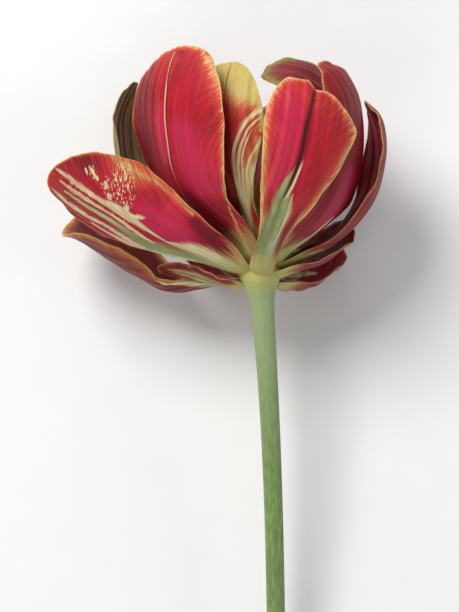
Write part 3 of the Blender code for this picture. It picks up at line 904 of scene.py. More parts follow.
@dataclass(frozen=True)
class Layers:
    """How clearly each layer of a petal's colour shows, up to 1.

    Attributes:
        clouds: Its wide darker places.
        veins: Its wider veins.
        streaks: The fine streaks between them.
        painted_sheen: The painted pink sheen where the satin blade catches the light.
        painted_shade: The painted shade in creases, folds and lobes that turn away from the light.
        stripes: The orange stripes near the margin.
        lining: The colour of the inner face.
        flush: The orange under the yellow.
        yellow: The yellow of the margin.
        hairs: The orange hairs in that yellow.
        rim: The thin line of the rim.
        gaps: The fine red lines in the cream flames.
        dashes: The pale dashes.
    """

    clouds: float = 0.45
    veins: float = 0.35
    streaks: float = 0.3
    painted_sheen: float = 0.5
    painted_shade: float = 0.75
    stripes: float = 0.5
    lining: float = 0.8
    flush: float = 0.75
    yellow: float = 0.95
    hairs: float = 0.35
    rim: float = 0.75
    gaps: float = 0.5
    dashes: float = 0.85


@dataclass
class PetalMaterial:
    """Makes the material of one petal.

    Attributes:
        effects: The shared effects.
        petal: The petal whose colours and seed it takes.
        show: How clearly its layers show.
        seed_step: How far apart in the noise two petals of neighbouring seeds are.
        sheet: The material's nodes.
        veins: The noise along the petal's veins, by name.
    """

    effects: Effects
    petal: Petal
    show: Layers = Layers()
    seed_step: float = 13.7
    sheet: NodeSheet = field(init=False)
    veins: bpy.types.NodeOutputs = field(init=False)

    def make(self) -> bpy.types.Material:
        """Lays the petal's colours over one another and gives it its veined skin.

        Returns:
            The material.
        """
        material, self.sheet, shader = start_material(self.petal.name)
        sheet = self.sheet
        self.veins = sheet.group(self.effects.veins, Seed=self.petal.seed * self.seed_step).outputs
        colour = self.claw(self.rib(self.dashes(self.flames(self.margin(self.body())))))
        height = sheet.plus(sheet.times(self.veins["Ribs"], 0.8), self.veins["Streaks"])
        PETAL_SKIN.cover(sheet, shader, colour, self.veins["Clouds"], height)
        shader.inputs["Sheen Weight"].default_value = 0.05
        shader.inputs["Sheen Roughness"].default_value = 0.4
        shader.inputs["Sheen Tint"].default_value = linear(255, 150, 180)
        shader.inputs["Specular IOR Level"].default_value = 0.26
        return material

    def mask(self, tint: Tint, feather: float, softness: float) -> Socket:
        """Finds where the markings of a tint show.

        Args:
            tint: The tint.
            feather: How far their edges are drawn out along the veins.
            softness: How soft those edges are.

        Returns:
            The mask, from 0 to 1.
        """
        node = self.sheet.group(self.effects.brush, Field=self.sheet.field(tint.value),
                                Streaks=self.veins["Streaks"], Lines=self.veins["Lines"], Feather=feather,
                                Softness=softness)
        return node.outputs["Mask"]

    def by_margin(self, none: float, full: float, start: float, whole: float) -> Socket:
        """Makes a mask that follows the margin and starts some way up the petal.

        Args:
            none: The distance from the margin at which it is 0, in millimetres.
            full: The distance at which it is 1.
            start: The share of the length at which it starts.
            whole: The share of the length from which it is whole.

        Returns:
            The mask, from 0 to 1.
        """
        sheet = self.sheet
        return sheet.times(sheet.rise(sheet.field("rim"), none, full),
                           sheet.rise(sheet.field("along"), start, whole))

    def body(self) -> Socket:
        """Lays down the red of both faces, with its clouds, veins and flushes, its painted pink sheen and its
        painted shade.

        Returns:
            The colour.
        """
        sheet, look, veins, show = self.sheet, self.petal.finish, self.veins, self.show
        dim = sheet.times(sheet.rise(veins["Clouds"], 0.38, 0.72), show.clouds)
        lines = sheet.times(sheet.rise(veins["Ribs"], 0.5, 0.75), show.veins)
        fine = sheet.times(sheet.rise(veins["Streaks"], 0.52, 0.36), show.streaks)
        dark = sheet.math("ADD", sheet.plus(dim, lines), fine, clamp=True)
        colour = sheet.blend(dark, look.body, look.shade)
        # Painted sheen: pink highlights laid over the belly of the blade
        colour = sheet.glaze(colour, PAINTED_SHEEN_COLOUR, self.mask(Tint.PAINTED_SHEEN, 0.6, 1.0), show.painted_sheen)
        # Painted shade over creases, folds and lobes that turn away from the light
        colour = sheet.glaze(colour, PAINTED_SHADE_COLOUR, self.mask(Tint.PAINTED_SHADE, 0.6, 0.9), show.painted_shade)
        near = self.by_margin(13.0, 1.0, 0.3, 0.6)
        colour = sheet.glaze(colour, look.flush, sheet.times(near, veins["Lines"]), show.stripes)
        return sheet.glaze(colour, look.lining, sheet.field("inside"), show.lining)

    def margin(self, colour: Socket) -> Socket:
        """Draws the yellow in from the margin as hairs over an orange flush, and the thin line of the rim.

        Args:
            colour: The colour so far.

        Returns:
            The colour with the margin.
        """
        sheet, look, veins, show = self.sheet, self.petal.finish, self.veins, self.show
        push = sheet.times(sheet.less(veins["Streaks"], 0.5), 0.9)
        loose = sheet.plus(sheet.field(Tint.GOLD.value), push)
        colour = sheet.glaze(colour, look.flush, sheet.rise(loose, -0.6, 0.9), show.flush)
        hairs = sheet.plus(sheet.times(veins["Lines"], 0.6), loose)
        yellow = sheet.glaze(look.gold, look.flush, veins["Lines"], show.hairs)
        colour = sheet.glaze(colour, yellow, sheet.rise(hairs, 0.6, 1.2), show.yellow)
        return sheet.glaze(colour, look.gold, self.by_margin(0.5, 0.1, 0.15, 0.4), show.rim)

    def rib(self, colour: Socket) -> Socket:
        """Draws the lines along the midrib. Their places are in half widths of the first.

        Args:
            colour: The colour so far.

        Returns:
            The colour with the lines.
        """
        sheet, look = self.sheet, self.petal.rib
        place = sheet.field("rib")
        second = sheet.rise(sheet.math("ABSOLUTE", sheet.less(place, 2.3)), 1.2, 0.4)
        second = sheet.times(second, sheet.rise(sheet.field("along"), look.until + 0.06, look.until))
        colour = sheet.glaze(colour, look.beside, second, look.strength)
        first = sheet.rise(sheet.math("ABSOLUTE", place), 1.4, 0.5)
        return sheet.glaze(colour, look.core, first, look.strength)

    def flames(self, colour: Socket) -> Socket:
        """Paints the green and the cream flames, with fine lines in them.

        Args:
            colour: The colour so far.

        Returns:
            The colour with the flames.
        """
        sheet, veins = self.sheet, self.veins
        stain = sheet.blend(sheet.rise(veins["Clouds"], 0.3, 0.75), GREEN_COLOUR, MINT_COLOUR)
        colour = sheet.blend(self.mask(Tint.GREEN, 0.7, 0.4), colour, stain)
        pale = sheet.blend(sheet.rise(veins["Ribs"], 0.45, 0.75), self.petal.finish.flame, MINT_COLOUR)
        gaps = sheet.times(sheet.rise(veins["Lines"], 0.5, 0.75), self.show.gaps)
        return sheet.blend(sheet.times(self.mask(Tint.CREAM, 1.6, 0.4), sheet.less(1.0, gaps)), colour, pale)

    def dashes(self, colour: Socket) -> Socket:
        """Scatters short pale dashes over the marked patches.

        Args:
            colour: The colour so far.

        Returns:
            The colour with the dashes.
        """
        sheet = self.sheet
        patch = sheet.rise(sheet.field(Tint.FLECK.value), -0.2, 0.5)
        dash = sheet.times(sheet.rise(self.veins["Dashes"], 0.53, 0.6), patch)
        return sheet.glaze(colour, CREAM_COLOUR, dash, self.show.dashes)

    def claw(self, colour: Socket) -> Socket:
        """Turns the petal's foot yellow-green, with fine red lines where it starts.

        Args:
            colour: The colour so far.

        Returns:
            The colour with the foot.
        """
        sheet = self.sheet
        base = sheet.plus(sheet.field("along"), sheet.times(self.veins["Streaks"], 0.3))
        return sheet.blend(sheet.rise(base, 0.36, 0.2), colour, CLAW_COLOUR)


@dataclass(frozen=True)
class Relief:
    """The fine form of the blades, in millimetres.

    Attributes:
        crease_width: Half width of the crease or keel.
        flute: Height of the wide flutes.
        fine_flute: Height of the narrow ones.
        pitch: How fast the wide flutes follow one another across the blade, in radians.
        ripple: Height of the small waves at the margin.
        ripples: How many half waves of them there are.
    """

    crease_width: float = 1.1
    flute: float = 0.16
    fine_flute: float = 0.1
    pitch: float = 1.15
    ripple: float = 0.28
    ripples: float = 11.0

    def height(self, petal: Petal, v: np.ndarray, along: np.ndarray, reach: np.ndarray, from_rib: np.ndarray,
               edge: np.ndarray) -> np.ndarray:
        """How far each point of a blade stands out.

        Args:
            petal: The petal.
            v: Place across at each point.
            along: Place along at each point.
            reach: Distance from the middle, in millimetres.
            from_rib: Distance from the line along the midrib.
            edge: Nearness to the margin, from 0 to 1.

        Returns:
            The heights, in millimetres.
        """
        fade = smooth_step(along, 0.08, 0.3)
        crease = -petal.crease * np.exp(-(from_rib / self.crease_width) ** 2) * fade
        flutes = self.flute * fade * np.sin(reach * self.pitch + petal.seed * 2.1 + 3 * along)
        flutes += self.fine_flute * fade * np.sin(reach * 2 * self.pitch - petal.seed + 5 * along)
        ripple = self.ripple * edge ** 2 * np.sin(pi * self.ripples * along + 4 * v + petal.seed)
        return crease + flutes + ripple


@dataclass
class PetalMaker:
    """Builds the finished petals.

    Attributes:
        effects: The shared effects.
        spine_steps: Steps of the midrib.
        evenness: How evenly the lines of the mesh are spread. Below 1 they crowd towards the margins.
        middle: Thickness at the midrib, in millimetres.
        margin: Thickness at the margin.
        thinning: How far from the margin the blade starts to thin.
        tuck: Share of the length over which the foot turns in to the receptacle.
        tucked: How far it turns in, as a share of its distance from the axis.
        foot: How much wider than its solid the blade is there, in millimetres.
        wrap: How much further it bends round the receptacle there, in degrees.
        foot_end: Shares of the length between which both fade out.
        dent: Half width of the dent at the tip, across.
        skew: How far the waves run aslant to the margin, in radians.
        vein_turn: Share of the length at which the veins start to turn outwards.
        vein_bend: Share of the length over which they do so.
        relief: The fine form of the blades.
    """

    effects: Effects
    spine_steps: int = 240
    evenness: float = 0.45
    middle: float = 0.75
    margin: float = 0.3
    thinning: float = 5.0
    tuck: float = 0.07
    tucked: float = 0.3
    foot: float = 2.0
    wrap: float = 18.0
    foot_end: tuple[float, float] = (0.1, 0.32)
    dent: float = 0.2
    skew: float = 2.4
    vein_turn: float = 0.4
    vein_bend: float = 0.4
    relief: Relief = Relief()

    def midrib(self, petal: Petal) -> tuple[np.ndarray, np.ndarray, np.ndarray, np.ndarray, float]:
        """Follows a petal's midrib.

        Args:
            petal: The petal.

        Returns:
            Shares of its length, evenly spaced points there, the directions across and out of the blade, and
            the length in millimetres.
        """
        radius, height, azimuth = smooth_curve(petal.spine, 40).T
        turn = np.radians(azimuth)
        points = np.stack([radius * np.sin(turn), height, radius * np.cos(turn)], axis=-1)
        run = np.concatenate([[0], np.cumsum(np.linalg.norm(np.diff(points, axis=0), axis=1))])
        share = np.linspace(0, 1, self.spine_steps + 1)
        points = np.stack([np.interp(share * run[-1], run, axis) for axis in points.T], axis=-1)
        turn = np.interp(share * run[-1], run, turn)
        ahead = unit(np.gradient(points, axis=0))
        across = np.stack([np.cos(turn), 0 * turn, -np.sin(turn)], axis=-1)
        across = unit(across - ahead * np.sum(across * ahead, axis=1, keepdims=True))
        out = np.cross(across, ahead)
        roll = np.radians(np.interp(share, (0, 0.5, 1), petal.roll))[:, None]
        rolled = across * np.cos(roll) + out * np.sin(roll)
        return share, points, rolled, out * np.cos(roll) - across * np.sin(roll), float(run[-1])

    def outline(self, petal: Petal) -> tuple[np.ndarray, np.ndarray]:
        """Lays the lines of a blade's mesh out flat.

        Args:
            petal: The petal.

        Returns:
            The places along and across of its points.
        """
        rows, columns = petal.grid
        u = np.linspace(0, 1, rows + 1)[:, None]
        spread = np.linspace(-1, 1, columns + 1)[None, :]
        v = self.evenness * spread + (1 - self.evenness) * np.sin(pi / 2 * spread)
        crown = np.sqrt(np.maximum(0, 1 - v ** 2))
        top = petal.shoulder + (1 - petal.shoulder) * crown + petal.slant * v * crown
        return u * (top - petal.notch * np.exp(-(v / self.dent) ** 2)), v + 0 * u

    def build(self, petal: Petal) -> bpy.types.Object:
        """Builds one petal with its fields and its material.

        Args:
            petal: The petal.

        Returns:
            The finished piece.
        """
        along, v = self.outline(petal)
        share, points, across, out, length = self.midrib(petal)
        low = (1 - smooth_step(along, *self.foot_end)) * smooth_step(along, -0.02, 0.05)
        full = np.where(v < 0, petal.left, petal.right)
        half = petal.claw + (full - petal.claw) * petal.widening(along) + self.foot * low
        place, thickness = self.rib_line(petal, along, half)
        from_rib = half * v - place
        bend = np.radians(np.interp(along, (0, 0.5, 1), petal.cup) + self.wrap * low) * v
        safe = np.where(np.abs(bend) < 1e-6, 1e-6, bend)
        side = half * v * np.sin(safe) / safe
        drop = half * v * (1 - np.cos(safe)) / safe
        up_the_blade = np.linspace(0, 1, len(along))[:, None]
        edge = np.maximum(np.abs(v) ** 3, up_the_blade ** 8) * np.minimum(1, along / 0.4)
        slow = 2 * pi * petal.waves * along * np.sign(v)
        wave = petal.ruffle * edge * np.sin(slow + self.skew * v + petal.phase)
        lift = wave - drop + self.relief.height(petal, v, along, half * v, from_rib, edge)
        middle, sideways, outward = (np.stack([np.interp(along, share, axis) for axis in vectors.T], axis=-1)
                                     for vectors in (points, across, out))
        outer = self.press(middle + sideways * side[..., None] + outward * lift[..., None])
        outer[..., ::2] *= (1 - self.tucked * smooth_step(self.tuck - along, 0.0, self.tuck))[..., None]
        normal = unit(np.cross(np.gradient(outer, axis=1), np.gradient(outer, axis=0)))
        rim = self.rim_distance(outer)
        depth = self.margin + (self.middle - self.margin) * smooth_step(rim, 0.0, self.thinning)
        inner = outer - normal * depth[..., None]
        fields = self.fields(petal, v, along, half, length, rim)
        fields["rib"] = np.clip(from_rib / thickness, -50, 50)
        both = {key: np.concatenate([values.ravel(), values.ravel()]) for key, values in fields.items()}
        both["inside"] = np.repeat([0.0, 1.0], v.size)
        grid = np.concatenate([outer.reshape(-1, 3), inner.reshape(-1, 3)])
        piece = add_mesh(f"{petal.name}_blade", to_world(grid), self.shell_faces(*v.shape), both)
        seat_piece(piece, PetalMaterial(self.effects, petal).make(), petal.name)
        return piece

    @staticmethod
    def rib_line(petal: Petal, along: np.ndarray, half: np.ndarray) -> tuple[np.ndarray, np.ndarray]:
        """Follows the lines along the midrib.

        Args:
            petal: The petal.
            along: Place along at each point.
            half: Half width at each point, in millimetres.

        Returns:
            How far to the right of the middle the line runs at each point, and its half width there.
        """
        least = 0.01
        path = smooth_curve(petal.rib.path, 6)
        path = path[np.argsort(path[:, 1])]
        place = np.interp(along, path[:, 1], path[:, 0]) * half
        thickness = np.interp(along, path[:, 1], path[:, 2], left=least, right=least)
        return place, np.maximum(thickness, least)

    @staticmethod
    def press(points: np.ndarray) -> np.ndarray:
        """Lifts what would be below the table onto it, where it lies flat.

        Args:
            points: Points of a blade, in millimetres.

        Returns:
            The points as they lie.
        """
        up = np.array([0, sin(radians(LAY_TILT)), cos(radians(LAY_TILT))])
        level = SEAT[2] + points @ up
        bent = (level + PRESS) ** 2 / (4 * PRESS)
        lying = np.where(level > PRESS, level, np.where(level > -PRESS, bent, 0))
        return points + (lying - level)[..., None] * up

    @staticmethod
    def rim_distance(grid: np.ndarray) -> np.ndarray:
        """Measures how far each point of a blade is from its margin, the claw's end apart.

        Args:
            grid: The blade's points, from claw to tip and from margin to margin.

        Returns:
            The distances, in millimetres.
        """
        rim = np.concatenate([grid[:, 0], grid[-1, :], grid[:, -1]])
        near = np.full(grid.shape[:2], np.inf)
        for point in rim:
            near = np.minimum(near, np.sum((grid - point) ** 2, axis=-1))
        return np.sqrt(near)

    def fields(self, petal: Petal, v: np.ndarray, along: np.ndarray, half: np.ndarray, length: float,
               rim: np.ndarray) -> dict[str, np.ndarray]:
        """The values that the petal's material reads.

        Args:
            petal: The petal.
            v: Place across at each point.
            along: Place along at each point.
            half: Half width at each point, in millimetres.
            length: The petal's length.
            rim: Distance from the margin.

        Returns:
            The values by name. The veins run with the midrib near it and turn out to the margins higher up.
        """
        turn, bend = np.maximum(along - self.vein_turn, 0), self.vein_bend
        ahead = np.where(turn < bend, 0.5 / bend * turn ** 2, turn - 0.5 * bend)
        outward = petal.sweep * length / petal.width * ahead
        away = np.maximum(np.abs(v), 0.05)
        x, y = half * v, along * length
        made = {"vein": (away - 0.02 / away - outward) * petal.width, "length": y, "side": x, "along": along,
                "rim": np.minimum(rim, 20.0)}
        made |= {tint.value: np.full(v.shape, BARE) for tint in Tint}
        left, crown, right = petal.reach
        reach = np.interp(v, (-1, -0.6, 0, 0.6, 1),
                          (left, 0.5 * (left + crown), crown, 0.5 * (crown + right), right))
        reach *= smooth_step(along, 0.12, 0.5)
        made["gold"] = np.maximum(BARE, 1 - rim / np.maximum(reach, 0.05))
        for marking in petal.markings:
            stroke = self.stroke(petal, marking, x, y, length)
            made[marking.tint.value] = np.maximum(made[marking.tint.value], stroke)
        made["gold"] = np.where(made["gold"] > 0, made["gold"] * petal.solid, made["gold"])
        return made

    @staticmethod
    def stroke(petal: Petal, marking: Marking, x: np.ndarray, y: np.ndarray, length: float) -> np.ndarray:
        """The field of one marking, which is 1 in the middle of its brush and 0 at its edge.

        Args:
            petal: The petal.
            marking: The marking.
            x: Distance from the middle at each point, in millimetres.
            y: Distance from the claw at each point.
            length: The petal's length.

        Returns:
            The value at each point.
        """
        path = smooth_curve(marking.path, 6) if len(marking.path) > 2 else np.array(marking.path)
        steps = np.linspace(0, 1, len(x))
        wide = petal.claw + (petal.width - petal.claw) * petal.widening(steps)
        px, py = path[:, 0] * np.interp(path[:, 1], steps, wide), path[:, 1] * length
        brush = np.maximum(path[:, 2], 0.05)
        best = np.full(x.shape, BARE)
        for k in range(len(path) - 1):
            dx, dy = px[k + 1] - px[k], py[k + 1] - py[k]
            t = np.clip(((x - px[k]) * dx + (y - py[k]) * dy) / (dx * dx + dy * dy + 1e-9), 0, 1)
            gap = np.hypot(x - px[k] - t * dx, y - py[k] - t * dy)
            best = np.maximum(best, 1 - gap / (brush[k] + t * (brush[k + 1] - brush[k])))
        return best

    @staticmethod
    def shell_faces(rows: int, columns: int) -> np.ndarray:
        """Joins an outer and an inner grid of points into a closed shell.

        Args:
            rows: How many points they have from claw to tip.
            columns: How many points they have from margin to margin.

        Returns:
            The outer faces, the inner ones and the rim, as rows of four vertex numbers.
        """
        numbers = np.arange(rows * columns).reshape(rows, columns)
        a, b, c, d = numbers[:-1, :-1], numbers[:-1, 1:], numbers[1:, 1:], numbers[1:, :-1]
        outer = np.stack([a, b, c, d], axis=-1).reshape(-1, 4)
        inner = outer[:, ::-1] + numbers.size
        border = np.concatenate([numbers[0, :-1], numbers[:-1, -1], numbers[-1, :0:-1], numbers[:0:-1, 0]])
        after = np.roll(border, -1)
        rim = np.stack([border, border + numbers.size, after + numbers.size, after], axis=-1)
        return np.concatenate([outer, inner, rim])


def swept(centre: np.ndarray, radius: np.ndarray, sides: int,
          lobes: float = 0.0) -> tuple[np.ndarray, np.ndarray, dict[str, np.ndarray]]:
    """Sweeps a nearly round section along a line and closes its ends.

    Args:
        centre: Points of the line, in millimetres.
        radius: The section's radius at each.
        sides: Points round the section.
        lobes: How far the section swells in three lobes, as a share of its radius.

    Returns:
        Vertices, faces of four, and the fields around and length.
    """
    ahead = unit(np.gradient(centre, axis=0))
    level = np.tile(np.array([1.0, 0, 0]), (len(centre), 1))
    level = unit(level - ahead * np.sum(level * ahead, axis=1, keepdims=True))
    third = np.cross(level, ahead)
    angle = np.linspace(0, 2 * pi, sides, endpoint=False)
    wide = radius[:, None] * (1 + lobes * np.cos(3 * angle))[None, :]
    ring = (centre[:, None, :] + (wide * np.cos(angle))[..., None] * level[:, None, :]
            + (wide * np.sin(angle))[..., None] * third[:, None, :])
    points = ring.reshape(-1, 3)
    numbers = np.arange(len(points)).reshape(len(centre), sides)
    after = np.roll(numbers, -1, axis=1)
    faces = np.stack([numbers[:-1], numbers[1:], after[1:], after[:-1]], axis=-1).reshape(-1, 4)
    around = np.tile(angle / (2 * pi), len(centre))
    length = np.repeat(np.linspace(0, 1, len(centre)), sides)
    rings = 4
    shrunk = 1 - np.arange(1, rings + 1) / (rings + 0.02)
    for row, flip in ((numbers[0], False), (numbers[-1], True)):
        inside = row
        middle = points[row].mean(axis=0)
        for share in shrunk:
            fresh = np.arange(len(points), len(points) + sides)
            points = np.concatenate([points, middle + (points[row] - middle) * share])
            around = np.concatenate([around, angle / (2 * pi)])
            length = np.concatenate([length, np.full(sides, length[row[0]])])
            wall = np.stack([inside, np.roll(inside, -1), np.roll(fresh, -1), fresh], axis=-1)
            faces = np.concatenate([faces, wall[:, ::-1] if flip else wall])
            inside = fresh
        lid = np.array([(inside[k], inside[k + 1], inside[-2 - k], inside[-1 - k])
                        for k in range(sides // 2 - 1)])
        faces = np.concatenate([faces, lid[:, ::-1] if flip else lid])
    return points, faces, {"around": around, "length": length}


@dataclass
class Stem:
    """The stem with its receptacle.

    Attributes:
        effects: The shared effects.
        steps: Steps along it.
        sides: Points round it.
        lean: How far its foot stands to the right of its neck, in millimetres.
        neck_fade: How quickly the thicker neck thins into the stem.
        bevel: How the receptacle's top is rounded off, as (distance below it, distance inwards).
        flare: How the top swells under the petals, as (height, added radius).
        lobes: How far its section swells in three lobes, as a share of its radius.
    """

    effects: Effects
    steps: int = 150
    sides: int = 40
    lean: float = 6.1
    neck_fade: float = 7.0
    bevel: tuple[tuple[float, float], ...] = ((0.4, 0.5), (0.0, 1.2))
    flare: tuple[Triple, ...] = ((-16, 0, 0), (-11, 0.15, 0), (-8, 0.55, 0), (-5, 1.35, 0), (-2.5, 2.2, 0),
                                 (0, 2.4, 0), (2, 1.7, 0), (4, 0.5, 0), (7, 0, 0))
    lobes: float = 0.025

    def build(self) -> bpy.types.Object:
        """Builds the stem.

        Returns:
            The finished piece.
        """
        tilt = radians(LAY_TILT)
        reach = np.linspace(1, 0, self.steps) ** 1.5
        drop = (SEAT[2] + CUT_END_DIP - (STEM_LENGTH * sin(tilt) + STEM_RADIUS)) / cos(tilt)
        lean = self.lean * (1 - (1 - reach) ** 3)
        centre = np.stack([lean, -STEM_LENGTH * reach, -drop * reach ** 2], axis=-1)
        radius = STEM_RADIUS + (NECK_RADIUS - STEM_RADIUS) * np.exp(-reach * self.neck_fade)
        radius += (RECEPTACLE_RADIUS - NECK_RADIUS) * smooth_step(-reach, -0.035, -0.01)
        rising = np.arange(0.5, RECEPTACLE_TOP - self.bevel[0][0], 0.5)
        height = np.concatenate([rising, [RECEPTACLE_TOP - below for below, _ in self.bevel]])
        cap = np.concatenate([np.full(len(rising), RECEPTACLE_RADIUS),
                              [RECEPTACLE_RADIUS - inwards for _, inwards in self.bevel]])
        centre = np.concatenate([centre, np.stack([0 * height, height, 0 * height], axis=-1)])
        swell = smooth_curve(self.flare, 8)
        radius = np.concatenate([radius, cap]) + np.interp(centre[:, 1], swell[:, 0], swell[:, 1])
        points, faces, fields = swept(centre, radius, self.sides, self.lobes)
        fields["height"] = points[:, 1]
        piece = add_mesh("stem_stalk", to_world(points), faces, fields)
        seat_piece(piece, self.material(), "stem")
        return piece

    def material(self) -> bpy.types.Material:
        """Makes the waxy green, paler towards the neck.

        Returns:
            The material.
        """
        material, sheet, shader = start_material("stem_wax")
        skin = sheet.group(self.effects.grain, Size=0.34, Stretch=110.0).outputs
        height = sheet.field("height")
        colour = sheet.blend(sheet.rise(skin["Streaks"], 0.3, 0.7), linear(96, 122, 62), linear(122, 146, 84))
        colour = sheet.glaze(colour, linear(146, 160, 116), sheet.rise(height, -75.0, -8.0), 0.8)
        colour = sheet.blend(sheet.rise(height, -9.0, -2.5), colour, CLAW_COLOUR)
        relief = sheet.plus(skin["Streaks"], sheet.times(skin["Grain"], 0.3))
        STEM_SKIN.cover(sheet, shader, colour, skin["Grain"], relief)
        return material


@dataclass
class Pistil:
    """The ovary and its stigma of three lobes.

    Attributes:
        effects: The shared effects.
        radius: Radius at its foot, in millimetres.
        top: Height of its top above the seat.
        lobe: Size of a stigma lobe.
        spread: How far the lobes stand out, as a share of the stigma's radius.
    """

    effects: Effects
    radius: float = 1.9
    top: float = 24.0
    lobe: float = 2.2
    spread: float = 0.28

    def build(self) -> bpy.types.Object:
        """Builds the pistil as one skin that swells into the stigma.

        Returns:
            The finished piece.
        """
        foot, neck = RECEPTACLE_TOP + SEAT_GAP, self.top - self.lobe
        stations = ((foot, 1), (0.5 * neck, 1.25), (0.85 * neck, 1.12), (neck - 1.6, 0.85),
                    (neck - 0.2, 1.15), (neck + 0.9, 1.75), (neck + 1.7, 1.55), (self.top - 0.1, 0.5))
        height, radius, _ = smooth_curve(tuple((at, wide * self.radius, 0.0) for at, wide in stations), 14).T
        centre = np.stack([0 * height, height, 0 * height], axis=-1)
        points, faces, fields = swept(centre, radius, 60)
        angle = 2 * pi * fields["around"]
        swell = smooth_step(points[:, 1], neck - 1.5, neck + 1.0)
        scale = 1 + (0.05 + self.spread * swell) * np.cos(3 * angle) + 0.03 * swell * np.cos(24 * angle)
        points = points * np.stack([scale, np.ones_like(scale), scale], axis=-1)
        piece = add_mesh("pistil_column", to_world(points), faces, fields)
        seat_piece(piece, self.material(), "pistil")
        return piece

    def material(self) -> bpy.types.Material:
        """Makes the pale green of the ovary and the yellow down of the stigma.

        Returns:
            The material.
        """
        material, sheet, shader = start_material("pistil_skin")
        skin = sheet.group(self.effects.grain, Size=0.25, Stretch=8.0).outputs
        tip = sheet.rise(sheet.field("length"), 0.62, 0.8)
        column = sheet.blend(skin["Streaks"], linear(176, 190, 110), linear(206, 212, 142))
        colour = sheet.blend(tip, column, linear(232, 214, 130))
        PISTIL_SKIN.cover(sheet, shader, colour, tip, sheet.times(skin["Grain"], tip))
        return material


@dataclass
class StamenRing:
    """Six stamens round the pistil.

    Attributes:
        effects: The shared effects.
        count: How many there are.
        seat: Radius of the ring that they stand in, in millimetres.
        filament: Radius of a filament.
        anther: Radius of an anther.
        grooves: Depth of an anther's grooves, as a share of its radius.
    """

    effects: Effects
    count: int = 6
    seat: float = 3.1
    filament: float = 0.7
    anther: float = 1.25
    grooves: float = 0.16

    def build(self) -> None:
        """Builds the stamens, each as a filament that carries its grooved anther."""
        finish = self.material()
        stations = ((self.seat, RECEPTACLE_TOP + SEAT_GAP, self.filament), (4.4, 13.0, self.filament),
                    (6.4, 19.5, 0.75 * self.filament), (6.9, 20.9, 0.6 * self.filament),
                    (7.2, 21.7, 0.9 * self.anther), (8.0, 24.0, self.anther), (9.0, 28.0, 0.95 * self.anther),
                    (9.6, 31.0, 0.4 * self.anther))
        away, height, radius = smooth_curve(stations, 10).T
        for number in range(self.count):
            turn = 2 * pi * number / self.count
            centre = np.stack([away * sin(turn), height, away * cos(turn)], axis=-1)
            points, faces, fields = swept(centre, radius, 28)
            grooved = np.interp(points[:, 1], height, smooth_step(height, 21.0, 22.5))
            angle = 2 * pi * fields["around"]
            axis = np.stack([np.interp(points[:, 1], height, line) for line in centre.T], axis=-1)
            points = axis + (points - axis) * (1 + self.grooves * grooved * np.cos(4 * angle))[:, None]
            fields["anther"] = grooved
            piece = add_mesh(f"stamen_{number + 1}_pollen", to_world(points), faces, fields)
            seat_piece(piece, finish, f"stamen_{number + 1}")

    def material(self) -> bpy.types.Material:
        """Makes the pale filament and the dusty anther.

        Returns:
            The material.
        """
        material, sheet, shader = start_material("stamen_pollen")
        skin = sheet.group(self.effects.grain, Size=0.18, Stretch=3.0).outputs
        dust = sheet.field("anther")
        pollen = sheet.blend(sheet.rise(skin["Grain"], 0.4, 0.65), linear(150, 104, 30), linear(226, 180, 70))
        thread = sheet.blend(skin["Streaks"], linear(198, 206, 128), linear(176, 180, 96))
        colour = sheet.blend(dust, thread, pollen)
        POLLEN_SKIN.cover(sheet, shader, colour, dust, sheet.times(skin["Grain"], dust))
        return material


@dataclass(frozen=True)
class Softbox:
    """A soft round light that faces the bloom.

    Attributes:
        name: Its name.
        place: Where it hangs, in metres.
        size: Its width, in metres.
        power: Its power, in watts.
    """

    name: str
    place: Triple
    size: float
    power: float

    def hang(self) -> None:
        """Hangs the light."""
        lamp = bpy.data.lights.new(self.name, "AREA")
        lamp.shape = "DISK"
        lamp.size = self.size
        lamp.energy = self.power
        made = bpy.data.objects.new(self.name, lamp)
        made.location = self.place
        aim = Vector(SEAT) * MM + Vector((0, 0.02, 0)) - Vector(self.place)
        made.rotation_euler = aim.to_track_quat("-Z", "Y").to_euler()
        bpy.context.scene.collection.objects.link(made)


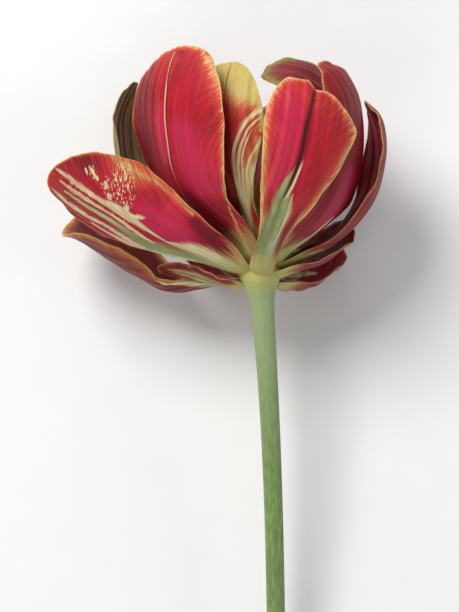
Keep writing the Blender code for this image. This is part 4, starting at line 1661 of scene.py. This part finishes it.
@dataclass
class Studio:
    """The pale table, the soft lights and the camera.

    Attributes:
        floor_size: Width of the table, in metres.
        air: The colour of the light from all round.
        air_strength: How strong that light is.
        lights: The lights.
        eye: The camera's place in the flower's frame, in millimetres.
        view_angle: The vertical angle of view, in degrees.
    """

    floor_size: float = 8.0
    air: Colour = (0.9, 0.92, 0.95, 1)
    air_strength: float = 0.34
    lights: tuple[Softbox, ...] = (
        Softbox("key_softbox", (-0.55, 0.7, 1.15), 0.7, 18.0),
        Softbox("side_softbox", (1.3, -0.1, 0.8), 0.9, 3.5),
        Softbox("back_softbox", (-0.2, 1.5, 0.5), 0.8, 3.0),
        Softbox("front_softbox", (-0.5, -1.0, 0.9), 0.8, 4.5),
    )
    eye: Triple = (-10.1, -11.7, 1500.0)
    view_angle: float = 8.013

    def build(self) -> None:
        """Sets the scene up."""
        self.floor()
        for light in self.lights:
            light.hang()
        world = bpy.data.worlds.new("studio_air")
        world.use_nodes = True
        air = world.node_tree.nodes["Background"].inputs
        air["Color"].default_value = self.air
        air["Strength"].default_value = self.air_strength
        bpy.context.scene.world = world
        bpy.context.scene.view_settings.view_transform = "Standard"
        self.camera()

    def floor(self) -> None:
        """Lays the pale table under the flower."""
        half = 0.5 * self.floor_size
        mesh = bpy.data.meshes.new("table")
        corners = [(-half, -half, 0), (half, -half, 0), (half, half, 0), (-half, half, 0)]
        mesh.from_pydata(corners, [], [(0, 1, 2, 3)])
        table = bpy.data.objects.new("table", mesh)
        bpy.context.scene.collection.objects.link(table)
        material, sheet, shader = start_material("table_matt")
        mottle = sheet.noise(sheet.add("ShaderNodeTexCoord").outputs["Object"], 60.0, 4.0)
        colour = sheet.blend(mottle, (0.78, 0.775, 0.76, 1), (0.82, 0.815, 0.8, 1))
        sheet.feed(shader.inputs["Base Color"], colour)
        shader.inputs["Roughness"].default_value = 0.85
        mesh.materials.append(material)

    def camera(self) -> None:
        """Looks straight down on the bloom's axis, as the picture does."""
        lens = bpy.data.cameras.new("picture_view")
        lens.sensor_fit = "VERTICAL"
        lens.angle = radians(self.view_angle)
        lens.clip_start = 0.05
        lens.clip_end = 30.0
        view = bpy.data.objects.new("picture_view", lens)
        bpy.context.scene.collection.objects.link(view)
        stand = Matrix.Translation(Vector(SEAT) * MM) @ Matrix.Rotation(radians(LAY_TILT), 4, "X")
        view.matrix_world = stand @ Matrix.Translation(Vector(self.eye) * MM)
        bpy.context.scene.camera = view


def main() -> None:
    """Builds the flower round its frame, then the studio."""
    logging.basicConfig(level=logging.INFO, format="%(name)s %(message)s")
    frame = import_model()
    LOG.info("%d CAD nodes", len(frame["nodes"]))
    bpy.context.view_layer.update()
    effects = Effects()
    maker = PetalMaker(effects)
    for petal in PETALS:
        maker.build(petal)
    Stem(effects).build()
    Pistil(effects).build()
    StamenRing(effects).build()
    Studio().build()
    bpy.context.view_layer.update()


if __name__ == "__main__":
    main()
